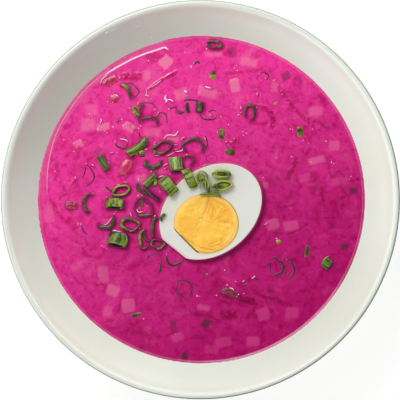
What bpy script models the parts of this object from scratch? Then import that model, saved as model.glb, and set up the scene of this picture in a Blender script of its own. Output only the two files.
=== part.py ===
"""Cold beet soup with half a boiled egg and spring onion, served in its bowl.

Solids only, in metres, +Z up, with the middle of the foot's underside at the
origin. The looks are made elsewhere.
"""

import math

import bmesh
import bpy
from mathutils import Matrix, Vector

MM = 0.001

# Bowl
RIM_RADIUS = 100.0
BOWL_HEIGHT = 62.0
TURN_STEPS = 60
BOWL_INSIDE = [
    (0.0, 9.0), (20.0, 9.8), (36.0, 13.4), (50.0, 19.0), (63.0, 26.2),
    (74.0, 33.6), (83.3, 42.0), (90.6, 50.6), (96.0, 58.4), (97.4, 61.0),
]
BOWL_LIP = [(98.4, BOWL_HEIGHT), (99.4, 61.7), (RIM_RADIUS, 60.8)]
BOWL_OUTSIDE = [(94.6, 51.4), (85.6, 39.8), (72.0, 27.6), (54.0, 16.2), (40.0, 9.4)]
FOOT_RADIUS = 37.0
FOOT_WIDTH = 4.6
FOOT_RECESS = 4.4

# Soup
LEVEL = 42.0
GAP = 0.3
MINIMUM_SINK = 0.4

# Egg, in millimetres from the middle of the bowl
EGG_CENTRE = (5.0, -6.0)
EGG_LENGTH = 57.0
EGG_WIDTH = 43.6
EGG_DEPTH = 21.0
EGG_TURN = 38.0
EGG_FACE_LIFT = 2.4
EGG_FACE_SLOPE = 0.0966
EGG_RISES_TOWARDS = -45.0
EGG_FLAT_SIDE = 232.0
EGG_FLAT_DISTANCE = 25.7
YOLK_CENTRE = (2.9, -12.3)
YOLK_WIDTH = 33.2
YOLK_BREADTH = 30.6
YOLK_DEPTH = 13.5

# Spring onion tubes lying down: name, x, y, height of the middle over the
# soup, heading, length, width, thickness, wall
ONION_TUBES = [
    ("onion_tube_01", -32.6, 26.8, 0.6, 38.0, 11.0, 4.6, 3.2, 0.8),
    ("onion_tube_02", -12.8, 18.3, 1.2, 98.0, 6.4, 5.6, 4.4, 0.9),
    ("onion_tube_03", -5.7, 10.9, 3.1, -65.0, 10.2, 4.0, 3.6, 0.8),
    ("onion_tube_04", -16.4, 6.7, 3.3, -48.0, 9.8, 5.4, 4.4, 0.9),
    ("onion_tube_05", -25.9, 10.1, 0.3, 43.0, 7.8, 3.4, 2.0, 0.5),
    ("onion_tube_06", -25.2, 2.9, 0.2, -41.0, 9.0, 1.9, 2.4, 0.5),
    ("onion_tube_07", -44.0, -2.1, 0.7, -2.0, 9.0, 4.4, 4.2, 0.9),
    ("onion_tube_08", -42.2, -20.4, 0.8, -13.0, 10.2, 7.0, 5.2, 1.1),
    ("onion_tube_09", -49.9, 19.1, 0.1, -61.0, 7.6, 3.1, 1.6, 0.4),
    ("onion_tube_10", -0.8, 47.5, 0.4, 86.0, 4.8, 3.4, 3.0, 0.7),
    ("onion_tube_11", 64.2, -32.5, 0.5, -38.0, 3.8, 5.4, 2.8, 0.7),
    ("onion_tube_12", 1.6, 8.8, 3.9, -64.0, 9.4, 4.0, 3.6, 0.8),
    ("onion_tube_13", 10.7, 13.0, 3.9, -4.0, 9.6, 3.8, 3.4, 0.7),
    ("onion_tube_14", 11.1, 7.2, 4.5, 8.0, 10.2, 4.2, 3.6, 0.8),
    ("onion_tube_15", -19.0, -9.2, 2.5, 77.0, 5.4, 2.6, 2.0, 0.5),
]

# Spring onion rings standing on edge in the soup: name, x, y, height of the
# middle over the soup, heading of the long side, lean, length, width, tall,
# wall, start and sweep of the arc
ONION_RINGS = [
    ("onion_ring_01", -19.6, 26.7, 0.3, 18.0, 12.0, 10.4, 5.8, 2.8, 0.9, 0.0, 360.0),
    ("onion_ring_02", -24.6, 20.4, 0.1, 0.0, 0.0, 9.0, 8.6, 2.8, 1.3, 186.0, 170.0),
    ("onion_ring_03", -4.2, 28.2, -0.6, -4.0, 0.0, 11.0, 6.6, 2.2, 0.8, 0.0, 360.0),
    ("onion_ring_04", -6.4, 20.3, -0.5, 0.0, 0.0, 5.8, 4.8, 2.0, 0.7, 0.0, 360.0),
    ("onion_ring_05", -40.7, 4.7, 0.5, 8.0, 10.0, 9.2, 5.4, 3.6, 0.9, 0.0, 360.0),
    ("onion_ring_06", -55.8, -2.0, -0.1, 0.0, 0.0, 8.8, 10.2, 2.4, 1.0, 92.0, 146.0),
    ("onion_ring_07", -36.0, -13.0, 0.3, -14.0, 12.0, 9.8, 6.4, 3.2, 0.9, 0.0, 360.0),
    ("onion_ring_08", -49.4, -9.4, 0.1, 0.0, 0.0, 10.2, 10.4, 2.8, 1.7, 222.0, 150.0),
    ("onion_ring_09", -26.4, -18.4, 0.1, 0.0, 0.0, 10.0, 13.6, 2.8, 1.4, 152.0, 112.0),
    ("onion_ring_10", -28.0, -14.2, 0.1, 0.0, 0.0, 10.8, 15.0, 2.8, 1.3, -46.0, 88.0),
    ("onion_ring_11", -21.9, -22.7, 0.0, -10.0, 8.0, 7.6, 5.0, 2.4, 0.8, 0.0, 360.0),
    ("onion_ring_12", -29.4, -3.3, -0.5, 0.0, 0.0, 9.4, 9.2, 2.2, 0.8, 0.0, 360.0),
    ("onion_ring_13", -41.6, 52.0, -0.2, 0.0, 0.0, 12.0, 14.4, 2.2, 1.5, 0.0, 84.0),
    ("onion_ring_14", -28.2, 45.6, -0.6, -6.0, 0.0, 10.6, 8.4, 2.0, 0.8, 0.0, 360.0),
    ("onion_ring_15", 6.9, 79.2, 0.0, -8.0, 8.0, 7.8, 4.2, 2.2, 0.8, 0.0, 360.0),
    ("onion_ring_16", 24.9, 44.2, 0.0, 0.0, 0.0, 5.6, 8.6, 2.2, 1.1, -52.0, 248.0),
]

# Beet pieces standing out of the soup: name, x, y, height of the middle over
# the soup, heading, length, width, thickness
BEET_PIECES = [
    ("beet_01", -38.4, 16.7, -0.9, 62.0, 10.4, 8.2, 4.6),
    ("beet_02", -46.4, 60.6, -0.7, 26.0, 10.4, 6.0, 3.8),
    ("beet_03", -44.3, 51.4, -0.5, 0.0, 5.8, 5.0, 3.0),
    ("beet_04", -66.2, -2.9, -0.4, -6.0, 8.0, 4.6, 3.0),
    ("beet_05", 14.6, -47.3, -0.4, -22.0, 9.4, 4.4, 2.8),
]

COLOURS = {
    "glaze": (0.80, 0.79, 0.75, 1.0),
    "soup": (0.62, 0.03, 0.22, 1.0),
    "white": (0.84, 0.85, 0.81, 1.0),
    "yolk": (0.93, 0.53, 0.08, 1.0),
    "onion": (0.10, 0.23, 0.02, 1.0),
    "beet": (0.42, 0.01, 0.07, 1.0),
}
ROUGHNESS = {"glaze": 0.12, "soup": 0.2, "white": 0.3, "yolk": 0.7, "onion": 0.35, "beet": 0.35}


def clear_scene():
    """Remove whatever the session started with."""
    for thing in list(bpy.data.objects):
        bpy.data.objects.remove(thing, do_unlink=True)


def make_collection(name):
    """Add a collection to the scene."""
    group = bpy.data.collections.new(name)
    bpy.context.scene.collection.children.link(group)
    return group


def make_material(name):
    """A plain shiny or matt material for one kind of sub-part."""
    found = bpy.data.materials.get(name)
    if found:
        return found
    made = bpy.data.materials.new(name)
    made.use_nodes = True
    shader = made.node_tree.nodes["Principled BSDF"]
    shader.inputs["Base Color"].default_value = COLOURS[name]
    shader.inputs["Roughness"].default_value = ROUGHNESS[name]
    return made


def add_object(name, shape, group, kind=None, smooth=True):
    """Turn a bmesh into a named object in a collection."""
    bmesh.ops.recalc_face_normals(shape, faces=shape.faces[:])
    mesh = bpy.data.meshes.new(name)
    shape.to_mesh(mesh)
    shape.free()
    thing = bpy.data.objects.new(name, mesh)
    group.objects.link(thing)
    if kind:
        mesh.materials.append(make_material(kind))
        mesh.polygons.foreach_set("use_smooth", [smooth] * len(mesh.polygons))
    else:
        thing.hide_render = True
        thing.display_type = "WIRE"
    return thing


def turn(thing, steps):
    """Spin an outline about the vertical axis."""
    screw = thing.modifiers.new("turn", "SCREW")
    screw.axis = "Z"
    screw.angle = math.tau
    screw.steps = steps
    screw.render_steps = steps
    screw.use_merge_vertices = True
    screw.merge_threshold = 0.00001
    screw.use_smooth_shade = True


def cut(thing, cutter):
    """Cut one object out of another."""
    step = thing.modifiers.new("cut_" + cutter.name, "BOOLEAN")
    step.operation = "DIFFERENCE"
    step.solver = "EXACT"
    step.object = cutter


def outline_object(name, points, group, kind):
    """An open outline of edges in the XZ plane, ready to be turned."""
    mesh = bpy.data.meshes.new(name)
    corners = [(r * MM, 0.0, z * MM) for r, z in points]
    mesh.from_pydata(corners, [(i, i + 1) for i in range(len(corners) - 1)], [])
    mesh.materials.append(make_material(kind))
    thing = bpy.data.objects.new(name, mesh)
    group.objects.link(thing)
    turn(thing, TURN_STEPS)
    return thing


def bowl(group):
    """Glazed bowl with a straight flaring wall, a rolled lip and a foot ring."""
    foot = [
        (FOOT_RADIUS + 0.6, 6.4), (FOOT_RADIUS, 0.8), (FOOT_RADIUS - 0.6, 0.0),
        (FOOT_RADIUS - FOOT_WIDTH + 0.6, 0.0), (FOOT_RADIUS - FOOT_WIDTH, 0.8),
        (FOOT_RADIUS - FOOT_WIDTH - 1.0, FOOT_RECESS), (0.0, FOOT_RECESS + 0.2),
    ]
    return outline_object("bowl", BOWL_INSIDE + BOWL_LIP + BOWL_OUTSIDE + foot, group, "glaze")


def soup(group):
    """Everything liquid, level at the top and a hair inside the bowl's wall."""
    wall = [(r - GAP, z + GAP) for r, z in BOWL_INSIDE[1:] if z < LEVEL - 1.0]
    edge = (83.3 - 2.0 * GAP, LEVEL)
    points = [(0.0, LEVEL), edge]
    points += list(reversed(wall)) + [(0.0, BOWL_INSIDE[0][1] + GAP)]
    return outline_object("soup", points, group, "soup")


def egg_frame():
    """Place of the cut face of the egg: leaning up to the lower right."""
    rise = math.radians(EGG_RISES_TOWARDS)
    axis = Vector((math.sin(rise), -math.cos(rise), 0.0))
    lean = Matrix.Rotation(math.atan(EGG_FACE_SLOPE), 4, axis)
    middle = Vector((EGG_CENTRE[0], EGG_CENTRE[1], LEVEL + EGG_FACE_LIFT)) * MM
    return Matrix.Translation(middle) @ lean


def half_ball(length, width, depth, steps, rings, lid=0.0):
    """Lower half of a ball stretched to an egg, with a flat or raised lid."""
    shape = bmesh.new()
    bmesh.ops.create_uvsphere(shape, u_segments=steps, v_segments=rings, radius=1.0)
    bmesh.ops.scale(shape, vec=(length * 0.5 * MM, width * 0.5 * MM, depth * MM), verts=shape.verts)
    geometry = shape.verts[:] + shape.edges[:] + shape.faces[:]
    slice_at = bmesh.ops.bisect_plane(shape, geom=geometry, plane_co=(0, 0, 0),
                                      plane_no=(0, 0, 1), clear_outer=True, dist=1e-7)
    rim = [e for e in slice_at["geom_cut"] if isinstance(e, bmesh.types.BMEdge)]
    top = bmesh.ops.edgeloop_fill(shape, edges=rim)["faces"]
    if lid:
        raised = bmesh.ops.extrude_face_region(shape, geom=top)["geom"]
        corners = [v for v in raised if isinstance(v, bmesh.types.BMVert)]
        bmesh.ops.translate(shape, vec=(0, 0, lid * MM), verts=corners)
        bmesh.ops.delete(shape, geom=top, context="FACES")
    return shape


def egg_half(grow, steps, rings, lid=0.0):
    """Half of the egg with the flat of its air space, turned and leaning."""
    shape = half_ball(EGG_LENGTH + 2 * grow, EGG_WIDTH + 2 * grow, EGG_DEPTH + grow, steps, rings, lid)
    bmesh.ops.rotate(shape, matrix=Matrix.Rotation(math.radians(EGG_TURN), 3, "Z"), verts=shape.verts)
    side = math.radians(EGG_FLAT_SIDE)
    normal = Vector((math.cos(side), math.sin(side), -0.25)).normalized()
    reach = (EGG_FLAT_DISTANCE + grow) * MM
    geometry = shape.verts[:] + shape.edges[:] + shape.faces[:]
    slice_at = bmesh.ops.bisect_plane(shape, geom=geometry, plane_co=normal * reach,
                                      plane_no=normal, clear_outer=True, dist=1e-7)
    rim = [e for e in slice_at["geom_cut"] if isinstance(e, bmesh.types.BMEdge)]
    bmesh.ops.edgeloop_fill(shape, edges=rim)
    bmesh.ops.transform(shape, matrix=egg_frame(), verts=shape.verts)
    return shape


def yolk_ball(grow, steps, rings, lid=0.0):
    """The round of the yolk under the cut face."""
    shape = half_ball(YOLK_WIDTH + 2 * grow, YOLK_BREADTH + 2 * grow, YOLK_DEPTH + grow, steps, rings, lid)
    offset = Vector((YOLK_CENTRE[0] - EGG_CENTRE[0], YOLK_CENTRE[1] - EGG_CENTRE[1], 0.0)) * MM
    bmesh.ops.transform(shape, matrix=egg_frame() @ Matrix.Translation(offset), verts=shape.verts)
    return shape


def egg(group, cutters):
    """White with its hollow, and the yolk in it."""
    white = add_object("egg_white", egg_half(0.0, 28, 12), group, "white")
    cut(white, add_object("yolk_hollow", yolk_ball(GAP, 24, 8, 3.0), cutters))
    add_object("egg_yolk", yolk_ball(0.0, 24, 8), group, "yolk")
    return add_object("egg_pocket", egg_half(GAP, 28, 12, 12.0), cutters)


def tube_shape(width, height, wall, length, start, sweep, steps):
    """Oval tube about Z, closed all round or an arc with flat ends.

    A wall of None gives the solid oval bar of the same size.
    """
    shape = bmesh.new()
    whole = sweep >= 360.0
    count = steps if whole else steps + 1
    outer, inner = [], []
    for index in range(count):
        angle = math.radians(start + sweep * index / steps)
        along, across = math.cos(angle), math.sin(angle)
        for loop, inset in ((outer, 0.0), (inner, wall)):
            if inset is None:
                continue
            x = (width * 0.5 - inset) * along * MM
            y = (height * 0.5 - inset) * across * MM
            low = shape.verts.new((x, y, -0.5 * length * MM))
            high = shape.verts.new((x, y, 0.5 * length * MM))
            loop.append((low, high))
    for index in range(count if whole else count - 1):
        after = (index + 1) % count
        a, b = outer[index], outer[after]
        shape.faces.new((a[0], b[0], b[1], a[1]))
        if inner:
            c, d = inner[index], inner[after]
            shape.faces.new((c[0], c[1], d[1], d[0]))
            shape.faces.new((a[1], b[1], d[1], c[1]))
            shape.faces.new((a[0], c[0], d[0], b[0]))
    if not inner:
        shape.faces.new([pair[1] for pair in outer])
        shape.faces.new([pair[0] for pair in reversed(outer)])
    elif not whole:
        for a, c in ((outer[0], inner[0]), (outer[-1], inner[-1])):
            shape.faces.new((a[0], a[1], c[1], c[0]))
    return shape


def onion_tubes(group, cutters):
    """Short lengths of spring onion leaf lying down."""
    pockets = []
    for name, x, y, z, heading, length, width, thick, wall in ONION_TUBES:
        place = (Matrix.Translation(Vector((x, y, LEVEL + z)) * MM)
                 @ Matrix.Rotation(math.radians(heading), 4, "Z")
                 @ Matrix.Rotation(math.radians(90.0), 4, "Y")
                 @ Matrix.Rotation(math.radians(90.0), 4, "Z"))
        shape = tube_shape(width, thick, wall, length, 0.0, 360.0, 10)
        bmesh.ops.transform(shape, matrix=place, verts=shape.verts)
        add_object(name, shape, group, "onion")
        if z - thick * 0.5 < -MINIMUM_SINK:
            room = tube_shape(width + 2 * GAP, thick + 2 * GAP, None, length + 2 * GAP, 0.0, 360.0, 10)
            bmesh.ops.transform(room, matrix=place, verts=room.verts)
            pockets.append(add_object(name + "_pocket", room, cutters))
    return pockets


def onion_rings(group, cutters):
    """Rings and opened rings of spring onion standing in the soup."""
    pockets = []
    for name, x, y, z, heading, lean, length, width, tall, wall, start, sweep in ONION_RINGS:
        place = (Matrix.Translation(Vector((x, y, LEVEL + z)) * MM)
                 @ Matrix.Rotation(math.radians(heading), 4, "Z")
                 @ Matrix.Rotation(math.radians(lean), 4, "X"))
        steps = 12 if sweep >= 360.0 else 8
        shape = tube_shape(length, width, wall, tall, start, sweep, steps)
        bmesh.ops.transform(shape, matrix=place, verts=shape.verts)
        add_object(name, shape, group, "onion")
        margin = math.degrees(2.0 * GAP / (0.5 * min(length, width))) if sweep < 360.0 else 0.0
        room = tube_shape(length + 2 * GAP, width + 2 * GAP, wall + 2 * GAP, tall + 2 * GAP,
                          start - margin, sweep + 2 * margin, steps)
        bmesh.ops.transform(room, matrix=place, verts=room.verts)
        pockets.append(add_object(name + "_pocket", room, cutters))
    return pockets


def lump(length, width, thick):
    """A cooked beet piece: a soft block with rounded corners."""
    shape = bmesh.new()
    bmesh.ops.create_icosphere(shape, subdivisions=2, radius=1.0)
    for corner in shape.verts:
        x, y, z = corner.co
        push = 1.0 / max(abs(x), abs(y), abs(z))
        corner.co = Vector((x, y, z)) * (0.55 + 0.45 * push) * 0.72
        corner.co.x += 0.08 * math.sin(5.0 * y + 2.0 * z)
        corner.co.y += 0.08 * math.sin(4.0 * x - 3.0 * z)
    reach = [max(abs(v.co[axis]) for v in shape.verts) for axis in range(3)]
    size = [length * 0.5 * MM / reach[0], width * 0.5 * MM / reach[1], thick * 0.5 * MM / reach[2]]
    bmesh.ops.scale(shape, vec=size, verts=shape.verts)
    return shape


def beet_pieces(group, cutters):
    """Beet pieces that break the surface."""
    pockets = []
    for name, x, y, z, heading, length, width, thick in BEET_PIECES:
        place = (Matrix.Translation(Vector((x, y, LEVEL + z)) * MM)
                 @ Matrix.Rotation(math.radians(heading), 4, "Z"))
        shape = lump(length, width, thick)
        bmesh.ops.transform(shape, matrix=place, verts=shape.verts)
        add_object(name, shape, group, "beet")
        room = lump(length + 3 * GAP, width + 3 * GAP, thick + 3 * GAP)
        bmesh.ops.transform(room, matrix=place, verts=room.verts)
        pockets.append(add_object(name + "_pocket", room, cutters))
    return pockets


def main():
    """Build every sub-part in order."""
    clear_scene()
    parts = make_collection("beet_soup_bowl")
    cutters = make_collection("cutters")
    bowl(parts)
    liquid = soup(parts)
    pockets = [egg(parts, cutters)]
    pockets += onion_tubes(parts, cutters)
    pockets += onion_rings(parts, cutters)
    pockets += beet_pieces(parts, cutters)
    for pocket in pockets:
        cut(liquid, pocket)


main()
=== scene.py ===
"""Looks of a cold beet soup with half a boiled egg, served in a glazed bowl.

Every size is in metres unless its name ends in _mm, +Z is up, and the middle
of the foot's underside is the origin.
"""

import logging
import math
from dataclasses import dataclass
from enum import Enum
from typing import Any, Iterable, Optional, Sequence, Union

import bmesh
import bpy
import numpy as np
from mathutils import Matrix, Vector, noise


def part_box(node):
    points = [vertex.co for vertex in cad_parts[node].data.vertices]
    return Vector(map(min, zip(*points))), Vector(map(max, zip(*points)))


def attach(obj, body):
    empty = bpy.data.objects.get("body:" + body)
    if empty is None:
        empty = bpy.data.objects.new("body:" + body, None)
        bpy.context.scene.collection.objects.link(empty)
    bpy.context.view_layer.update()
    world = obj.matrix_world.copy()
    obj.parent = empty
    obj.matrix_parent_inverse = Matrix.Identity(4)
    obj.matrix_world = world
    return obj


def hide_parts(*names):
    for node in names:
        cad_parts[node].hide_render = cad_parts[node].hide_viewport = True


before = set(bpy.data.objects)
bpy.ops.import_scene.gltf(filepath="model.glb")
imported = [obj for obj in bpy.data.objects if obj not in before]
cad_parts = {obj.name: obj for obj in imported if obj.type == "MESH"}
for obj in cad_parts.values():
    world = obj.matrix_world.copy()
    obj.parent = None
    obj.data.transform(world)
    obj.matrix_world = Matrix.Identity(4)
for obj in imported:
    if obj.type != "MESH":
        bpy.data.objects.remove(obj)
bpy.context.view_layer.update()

LOG = logging.getLogger("beet_soup")
MM = 0.001
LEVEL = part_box("soup")[1].z
Colour = tuple[float, float, float, float]


# ---------------------------------------------------------------- shader maths


class Wire:
    """One output of a node, with arithmetic that adds Math nodes."""

    def __init__(self, graph: "Graph", socket: bpy.types.NodeSocket) -> None:
        """Hold a node's output and the graph it belongs to."""
        self.graph = graph
        self.socket = socket

    def __add__(self, other: "Value") -> "Wire":
        """Return the sum."""
        return self.graph.math("ADD", self, other)

    __radd__ = __add__

    def __sub__(self, other: "Value") -> "Wire":
        """Return the difference."""
        return self.graph.math("SUBTRACT", self, other)

    def __rsub__(self, other: "Value") -> "Wire":
        """Return the difference the other way round."""
        return self.graph.math("SUBTRACT", other, self)

    def __mul__(self, other: "Value") -> "Wire":
        """Return the product."""
        return self.graph.math("MULTIPLY", self, other)

    __rmul__ = __mul__

    def __truediv__(self, other: "Value") -> "Wire":
        """Return the quotient."""
        return self.graph.math("DIVIDE", self, other)

    def __pow__(self, other: "Value") -> "Wire":
        """Return the power."""
        return self.graph.math("POWER", self, other)


Value = Union[Wire, float]


class Graph:
    """The node graph of one material, or of the room round the bowl."""

    def __init__(self, name: str, room: bool = False) -> None:
        """Start an empty graph with its output and shader.

        Args:
            name: the material's or the world's name.
            room: whether it lights the world instead of covering a surface.
        """
        self.material = (bpy.data.worlds if room else bpy.data.materials).new(name)
        self.material.use_nodes = True
        self.tree = self.material.node_tree
        self.tree.nodes.clear()
        self.shader = self.tree.nodes.new("ShaderNodeBackground" if room else "ShaderNodeBsdfPrincipled")
        output = self.tree.nodes.new("ShaderNodeOutputWorld" if room else "ShaderNodeOutputMaterial")
        self.tree.links.new(self.shader.outputs[0], output.inputs["Surface"])

    def add(
        self,
        kind: str,
        settings: Optional[dict[str, Any]] = None,
        inputs: Optional[dict[Union[str, int], Any]] = None,
        output: Union[str, int] = 0,
    ) -> Wire:
        """Add a node.

        Args:
            kind: the node's type, without its ShaderNode start.
            settings: properties set before the sockets.
            inputs: values or wires by socket name or number.
            output: the output to return.

        Returns:
            The chosen output as a wire.
        """
        node = self.tree.nodes.new("ShaderNode" + kind)
        for name, value in (settings or {}).items():
            if name == "stops":
                self._fill_ramp(node, value)
            else:
                setattr(node, name, value)
        for name, value in (inputs or {}).items():
            self.set(node.inputs[name], value)
        return Wire(self, node.outputs[output])

    def _fill_ramp(self, node: bpy.types.Node, stops: Sequence[tuple[float, Colour]]) -> None:
        """Give a colour ramp its stops."""
        elements = node.color_ramp.elements
        while len(elements) < len(stops):
            elements.new(1.0)
        for element, (place, colour) in zip(elements, stops):
            element.position = place
            element.color = colour

    def set(self, socket: bpy.types.NodeSocket, value: Any) -> None:
        """Link a wire to a socket, or set the socket's own value."""
        if isinstance(value, Wire):
            self.tree.links.new(value.socket, socket)
        else:
            socket.default_value = value

    def surface(self, **inputs: Any) -> None:
        """Set the shader's sockets, named with _ for each space."""
        for name, value in inputs.items():
            self.set(self.shader.inputs[name.replace("_", " ")], value)

    def math(self, operation: str, first: Value, second: Value = 0.0) -> Wire:
        """Return a Math node's result."""
        return self.add("Math", {"operation": operation}, {0: first, 1: second})

    def mix(self, factor: Value, first: Any, second: Any) -> Wire:
        """Return a blend of two colours."""
        return self.add("Mix", {"data_type": "RGBA"}, {0: factor, 6: first, 7: second}, 2)

    def step(self, value: Value, low: float, high: float) -> Wire:
        """Return 0 at low and 1 at high, with a smooth way between."""
        return self.add("MapRange", {"interpolation_type": "SMOOTHSTEP"},
                        {"Value": value, "From Min": low, "From Max": high})

    def place(self) -> Wire:
        """Return the point on the piece, in metres."""
        return self.add("TexCoord", output="Object")

    def attribute(self, name: str, output: str = "Fac") -> Wire:
        """Return a value stored on the mesh."""
        return self.add("Attribute", {"attribute_name": name}, output=output)

    def parts(self, vector: Wire) -> tuple[Wire, Wire, Wire]:
        """Return the three numbers of a vector."""
        node = self.add("SeparateXYZ", inputs={0: vector}).socket.node
        return tuple(Wire(self, socket) for socket in node.outputs)

    def grain(self, size_mm: float, detail: float = 2.0, at: Optional[Wire] = None,
              rough: float = 0.5, twist: float = 0.0) -> Wire:
        """Return a noise whose blotches are about the given size."""
        return self.add("TexNoise", inputs={
            "Vector": at or self.place(), "Scale": 0.5 / (size_mm * MM), "Detail": detail,
            "Roughness": rough, "Distortion": twist})

    def bump(self, height: Wire, depth_mm: float, strength: float = 1.0,
             normal: Optional[Wire] = None) -> Wire:
        """Return a normal bent by a height between 0 and 1."""
        inputs = {"Height": height, "Distance": depth_mm * MM, "Strength": strength}
        if normal:
            inputs["Normal"] = normal
        return self.add("Bump", inputs=inputs)


# -------------------------------------------------------------------- finishes


@dataclass(frozen=True)
class Glaze:
    """Off-white glaze, with a pink film where the soup has been, and a dark painted shade line round the outside
    edge of the lip, darkest on the side away from the lamp.
    """

    clean: Colour = (0.700, 0.745, 0.672, 1.0)
    warm: Colour = (0.680, 0.715, 0.625, 1.0)
    film: Colour = (0.86, 0.50, 0.62, 1.0)
    # edge: the dark grey of the painted shade line round the outside edge of the lip
    edge: Colour = (0.130, 0.135, 0.120, 1.0)
    film_height_mm: float = 1.0
    lip_shade_radius_mm: float = 98.8

    def make(self) -> bpy.types.Material:
        """Return the material."""
        g = Graph("glaze")
        x, y, z = g.parts(g.place())
        cloudy = g.grain(22.0, 2.0)
        colour = g.mix(g.step(cloudy, 0.35, 0.7), self.clean, self.warm)
        reach = g.math("SQRT", x * x + y * y)
        edge = g.step(z, LEVEL + self.film_height_mm * MM, LEVEL - 0.4 * MM) * g.step(reach, 0.0862, 0.0856)
        edge = edge * g.step(z, LEVEL - 3.0 * MM, LEVEL - 1.5 * MM)
        colour = g.mix(edge * 0.85, colour, self.film)
        # Painted shade: a dark line round the outside edge of the lip, darkest on the lower right, away from the
        # lamp.
        outer = g.step(reach, self.lip_shade_radius_mm * MM, (self.lip_shade_radius_mm + 0.5) * MM)
        outer = outer * g.step(z, 0.056, 0.059)
        lip_shade_side = g.step(x * 0.8 - y * 0.6, -0.06, 0.06) * 0.3 + 0.65
        colour = g.mix(outer * lip_shade_side, colour, self.edge)
        g.surface(Base_Color=colour, Roughness=g.step(g.grain(6.0), 0.2, 0.9) * 0.08 + 0.14,
                  Normal=g.bump(g.grain(9.0, 1.0), 0.12, 0.25))
        g.surface(Specular_IOR_Level=0.45)
        return g.material


@dataclass(frozen=True)
class Broth:
    """Creamy beet soup with sunk pieces showing, painted lighter and pinker towards the lamp and deeper away from
    it, as painted light and shade.
    """

    # The light colours are painted light on the side towards the lamp, and the deep colours are painted shade on
    # the side away from it.
    light: Colour = (0.92, 0.042, 0.345, 1.0)
    deep: Colour = (0.44, 0.005, 0.134, 1.0)
    pale_lit: Colour = (0.95, 0.230, 0.400, 1.0)
    pale_shaded: Colour = (0.60, 0.050, 0.230, 1.0)
    beet_lit: Colour = (0.55, 0.004, 0.115, 1.0)
    beet_shaded: Colour = (0.20, 0.002, 0.042, 1.0)
    speck: Colour = (0.200, 0.010, 0.100, 1.0)
    leaf: Colour = (0.085, 0.020, 0.040, 1.0)
    # painted shadow colour, for the soup beside the egg and the spring onion
    painted_shadow: Colour = (0.270, 0.004, 0.090, 1.0)
    # painted highlight colour for glints on the soup
    painted_highlight: Colour = (1.0, 0.78, 0.90, 1.0)
    painted_light_turn: float = 122.0
    painted_light_reach_mm: float = 80.0

    def make(self) -> bpy.types.Material:
        """Return the material."""
        g = Graph("soup")
        at = g.place()
        x, y, _ = g.parts(at)
        turn = math.radians(self.painted_light_turn)
        along = x * (math.cos(turn) / (self.painted_light_reach_mm * MM)) + y * (math.sin(turn) / (self.painted_light_reach_mm * MM))
        swirl = g.grain(16.0, 3.0, twist=1.5)
        # Painted light and shade: the colour runs from deep on the side away from the lamp to light on the side
        # towards it.
        near = g.step(along + (swirl - 0.5) * 0.9, -1.05, 0.95)
        fine = g.grain(1.6, 4.0, rough=0.65, twist=0.6)
        broad = g.grain(4.5, 3.0, rough=0.6, twist=1.0)
        base = g.mix(near, self.deep, self.light)
        pale = g.mix(near, self.pale_shaded, self.pale_lit)
        beet = g.mix(near, self.beet_shaded, self.beet_lit)
        colour = g.mix(g.step(broad, 0.52, 0.72) * 0.25, base, pale)
        colour = g.mix(g.step(broad, 0.48, 0.32) * 0.5, colour, beet)
        colour = g.mix(g.step(fine, 0.48, 0.32) * 0.5, colour, beet)
        colour = g.mix(g.step(fine, 0.54, 0.74) * 0.15, colour, pale)
        tiny = g.grain(0.7, 2.0)
        colour = g.mix(g.step(tiny, 0.60, 0.72) * g.step(broad, 0.4, 0.55) * 0.5, colour, self.speck)
        # The pale attribute is sunk cucumber, plus painted light at the egg's waterline and along the crest.
        colour = g.mix(g.attribute("pale"), colour, pale)
        colour = g.mix(g.attribute("beet") * g.step(tiny + fine * 0.5, 1.05, 0.65), colour, beet)
        colour = g.mix(g.attribute("leaf"), colour, self.leaf)
        colour = g.mix(g.attribute("painted_shadow"), colour, self.painted_shadow)
        colour = g.mix(g.attribute("painted_highlight"), colour, self.painted_highlight)
        relief = g.grain(2.4, 3.0, rough=0.55) * 0.6 + fine * 0.4
        g.surface(Base_Color=colour, Roughness=g.step(fine, 0.2, 0.8) * 0.12 + 0.16,
                  Coat_Weight=0.6 + g.step(broad, 0.3, 0.7) * 0.3,
                  Normal=g.bump(relief + g.attribute("beet") * tiny * 0.6, 0.4, 0.55))
        g.surface(Coat_Roughness=0.06, Specular_IOR_Level=0.35)
        return g.material


@dataclass(frozen=True)
class EggWhite:
    """Firm boiled white, a little bluish, stained pink where the soup laps it."""

    clean: Colour = (0.715, 0.725, 0.665, 1.0)
    warm: Colour = (0.735, 0.715, 0.630, 1.0)
    stain: Colour = (0.86, 0.42, 0.60, 1.0)

    def make(self, egg: "Egg") -> bpy.types.Material:
        """Return the material, stained along the given egg's outline."""
        g = Graph("egg_white")
        x, y, _ = g.parts(g.place())
        dx, dy = x / MM - egg.middle_mm[0], y / MM - egg.middle_mm[1]
        c, s = turned(egg.turn)
        u, v = (dx * c + dy * s) / (egg.length_mm / 2), (dy * c - dx * s) / (egg.width_mm / 2)
        oval = (1.0 - g.math("SQRT", u * u + v * v)) * (egg.width_mm / 2)
        fc, fs = turned(egg.flat_side)
        inside = g.math("MINIMUM", oval, egg.flat_distance_mm - (dx * fc + dy * fs))
        stain = g.step(inside + (g.grain(1.5, 2.0) - 0.5) * 0.8, 0.55, -0.05) * 0.6
        cloud = g.grain(7.0, 3.0)
        colour = g.mix(g.step(cloud, 0.35, 0.7), self.clean, self.warm)
        colour = g.mix(g.step(g.grain(1.2, 2.0), 0.5, 0.85) * 0.25, colour, (0.70, 0.74, 0.74, 1.0))
        colour = g.mix(stain, colour, self.stain)
        g.surface(Base_Color=colour, Roughness=g.step(g.grain(2.0), 0.3, 0.8) * 0.15 + 0.28,
                  Normal=g.bump(g.grain(1.0, 3.0) * 0.5 + g.grain(4.0) * 0.5, 0.2, 0.35))
        g.surface(Subsurface_Weight=0.3, Subsurface_Scale=0.003, Specular_IOR_Level=0.5)
        return g.material


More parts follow.
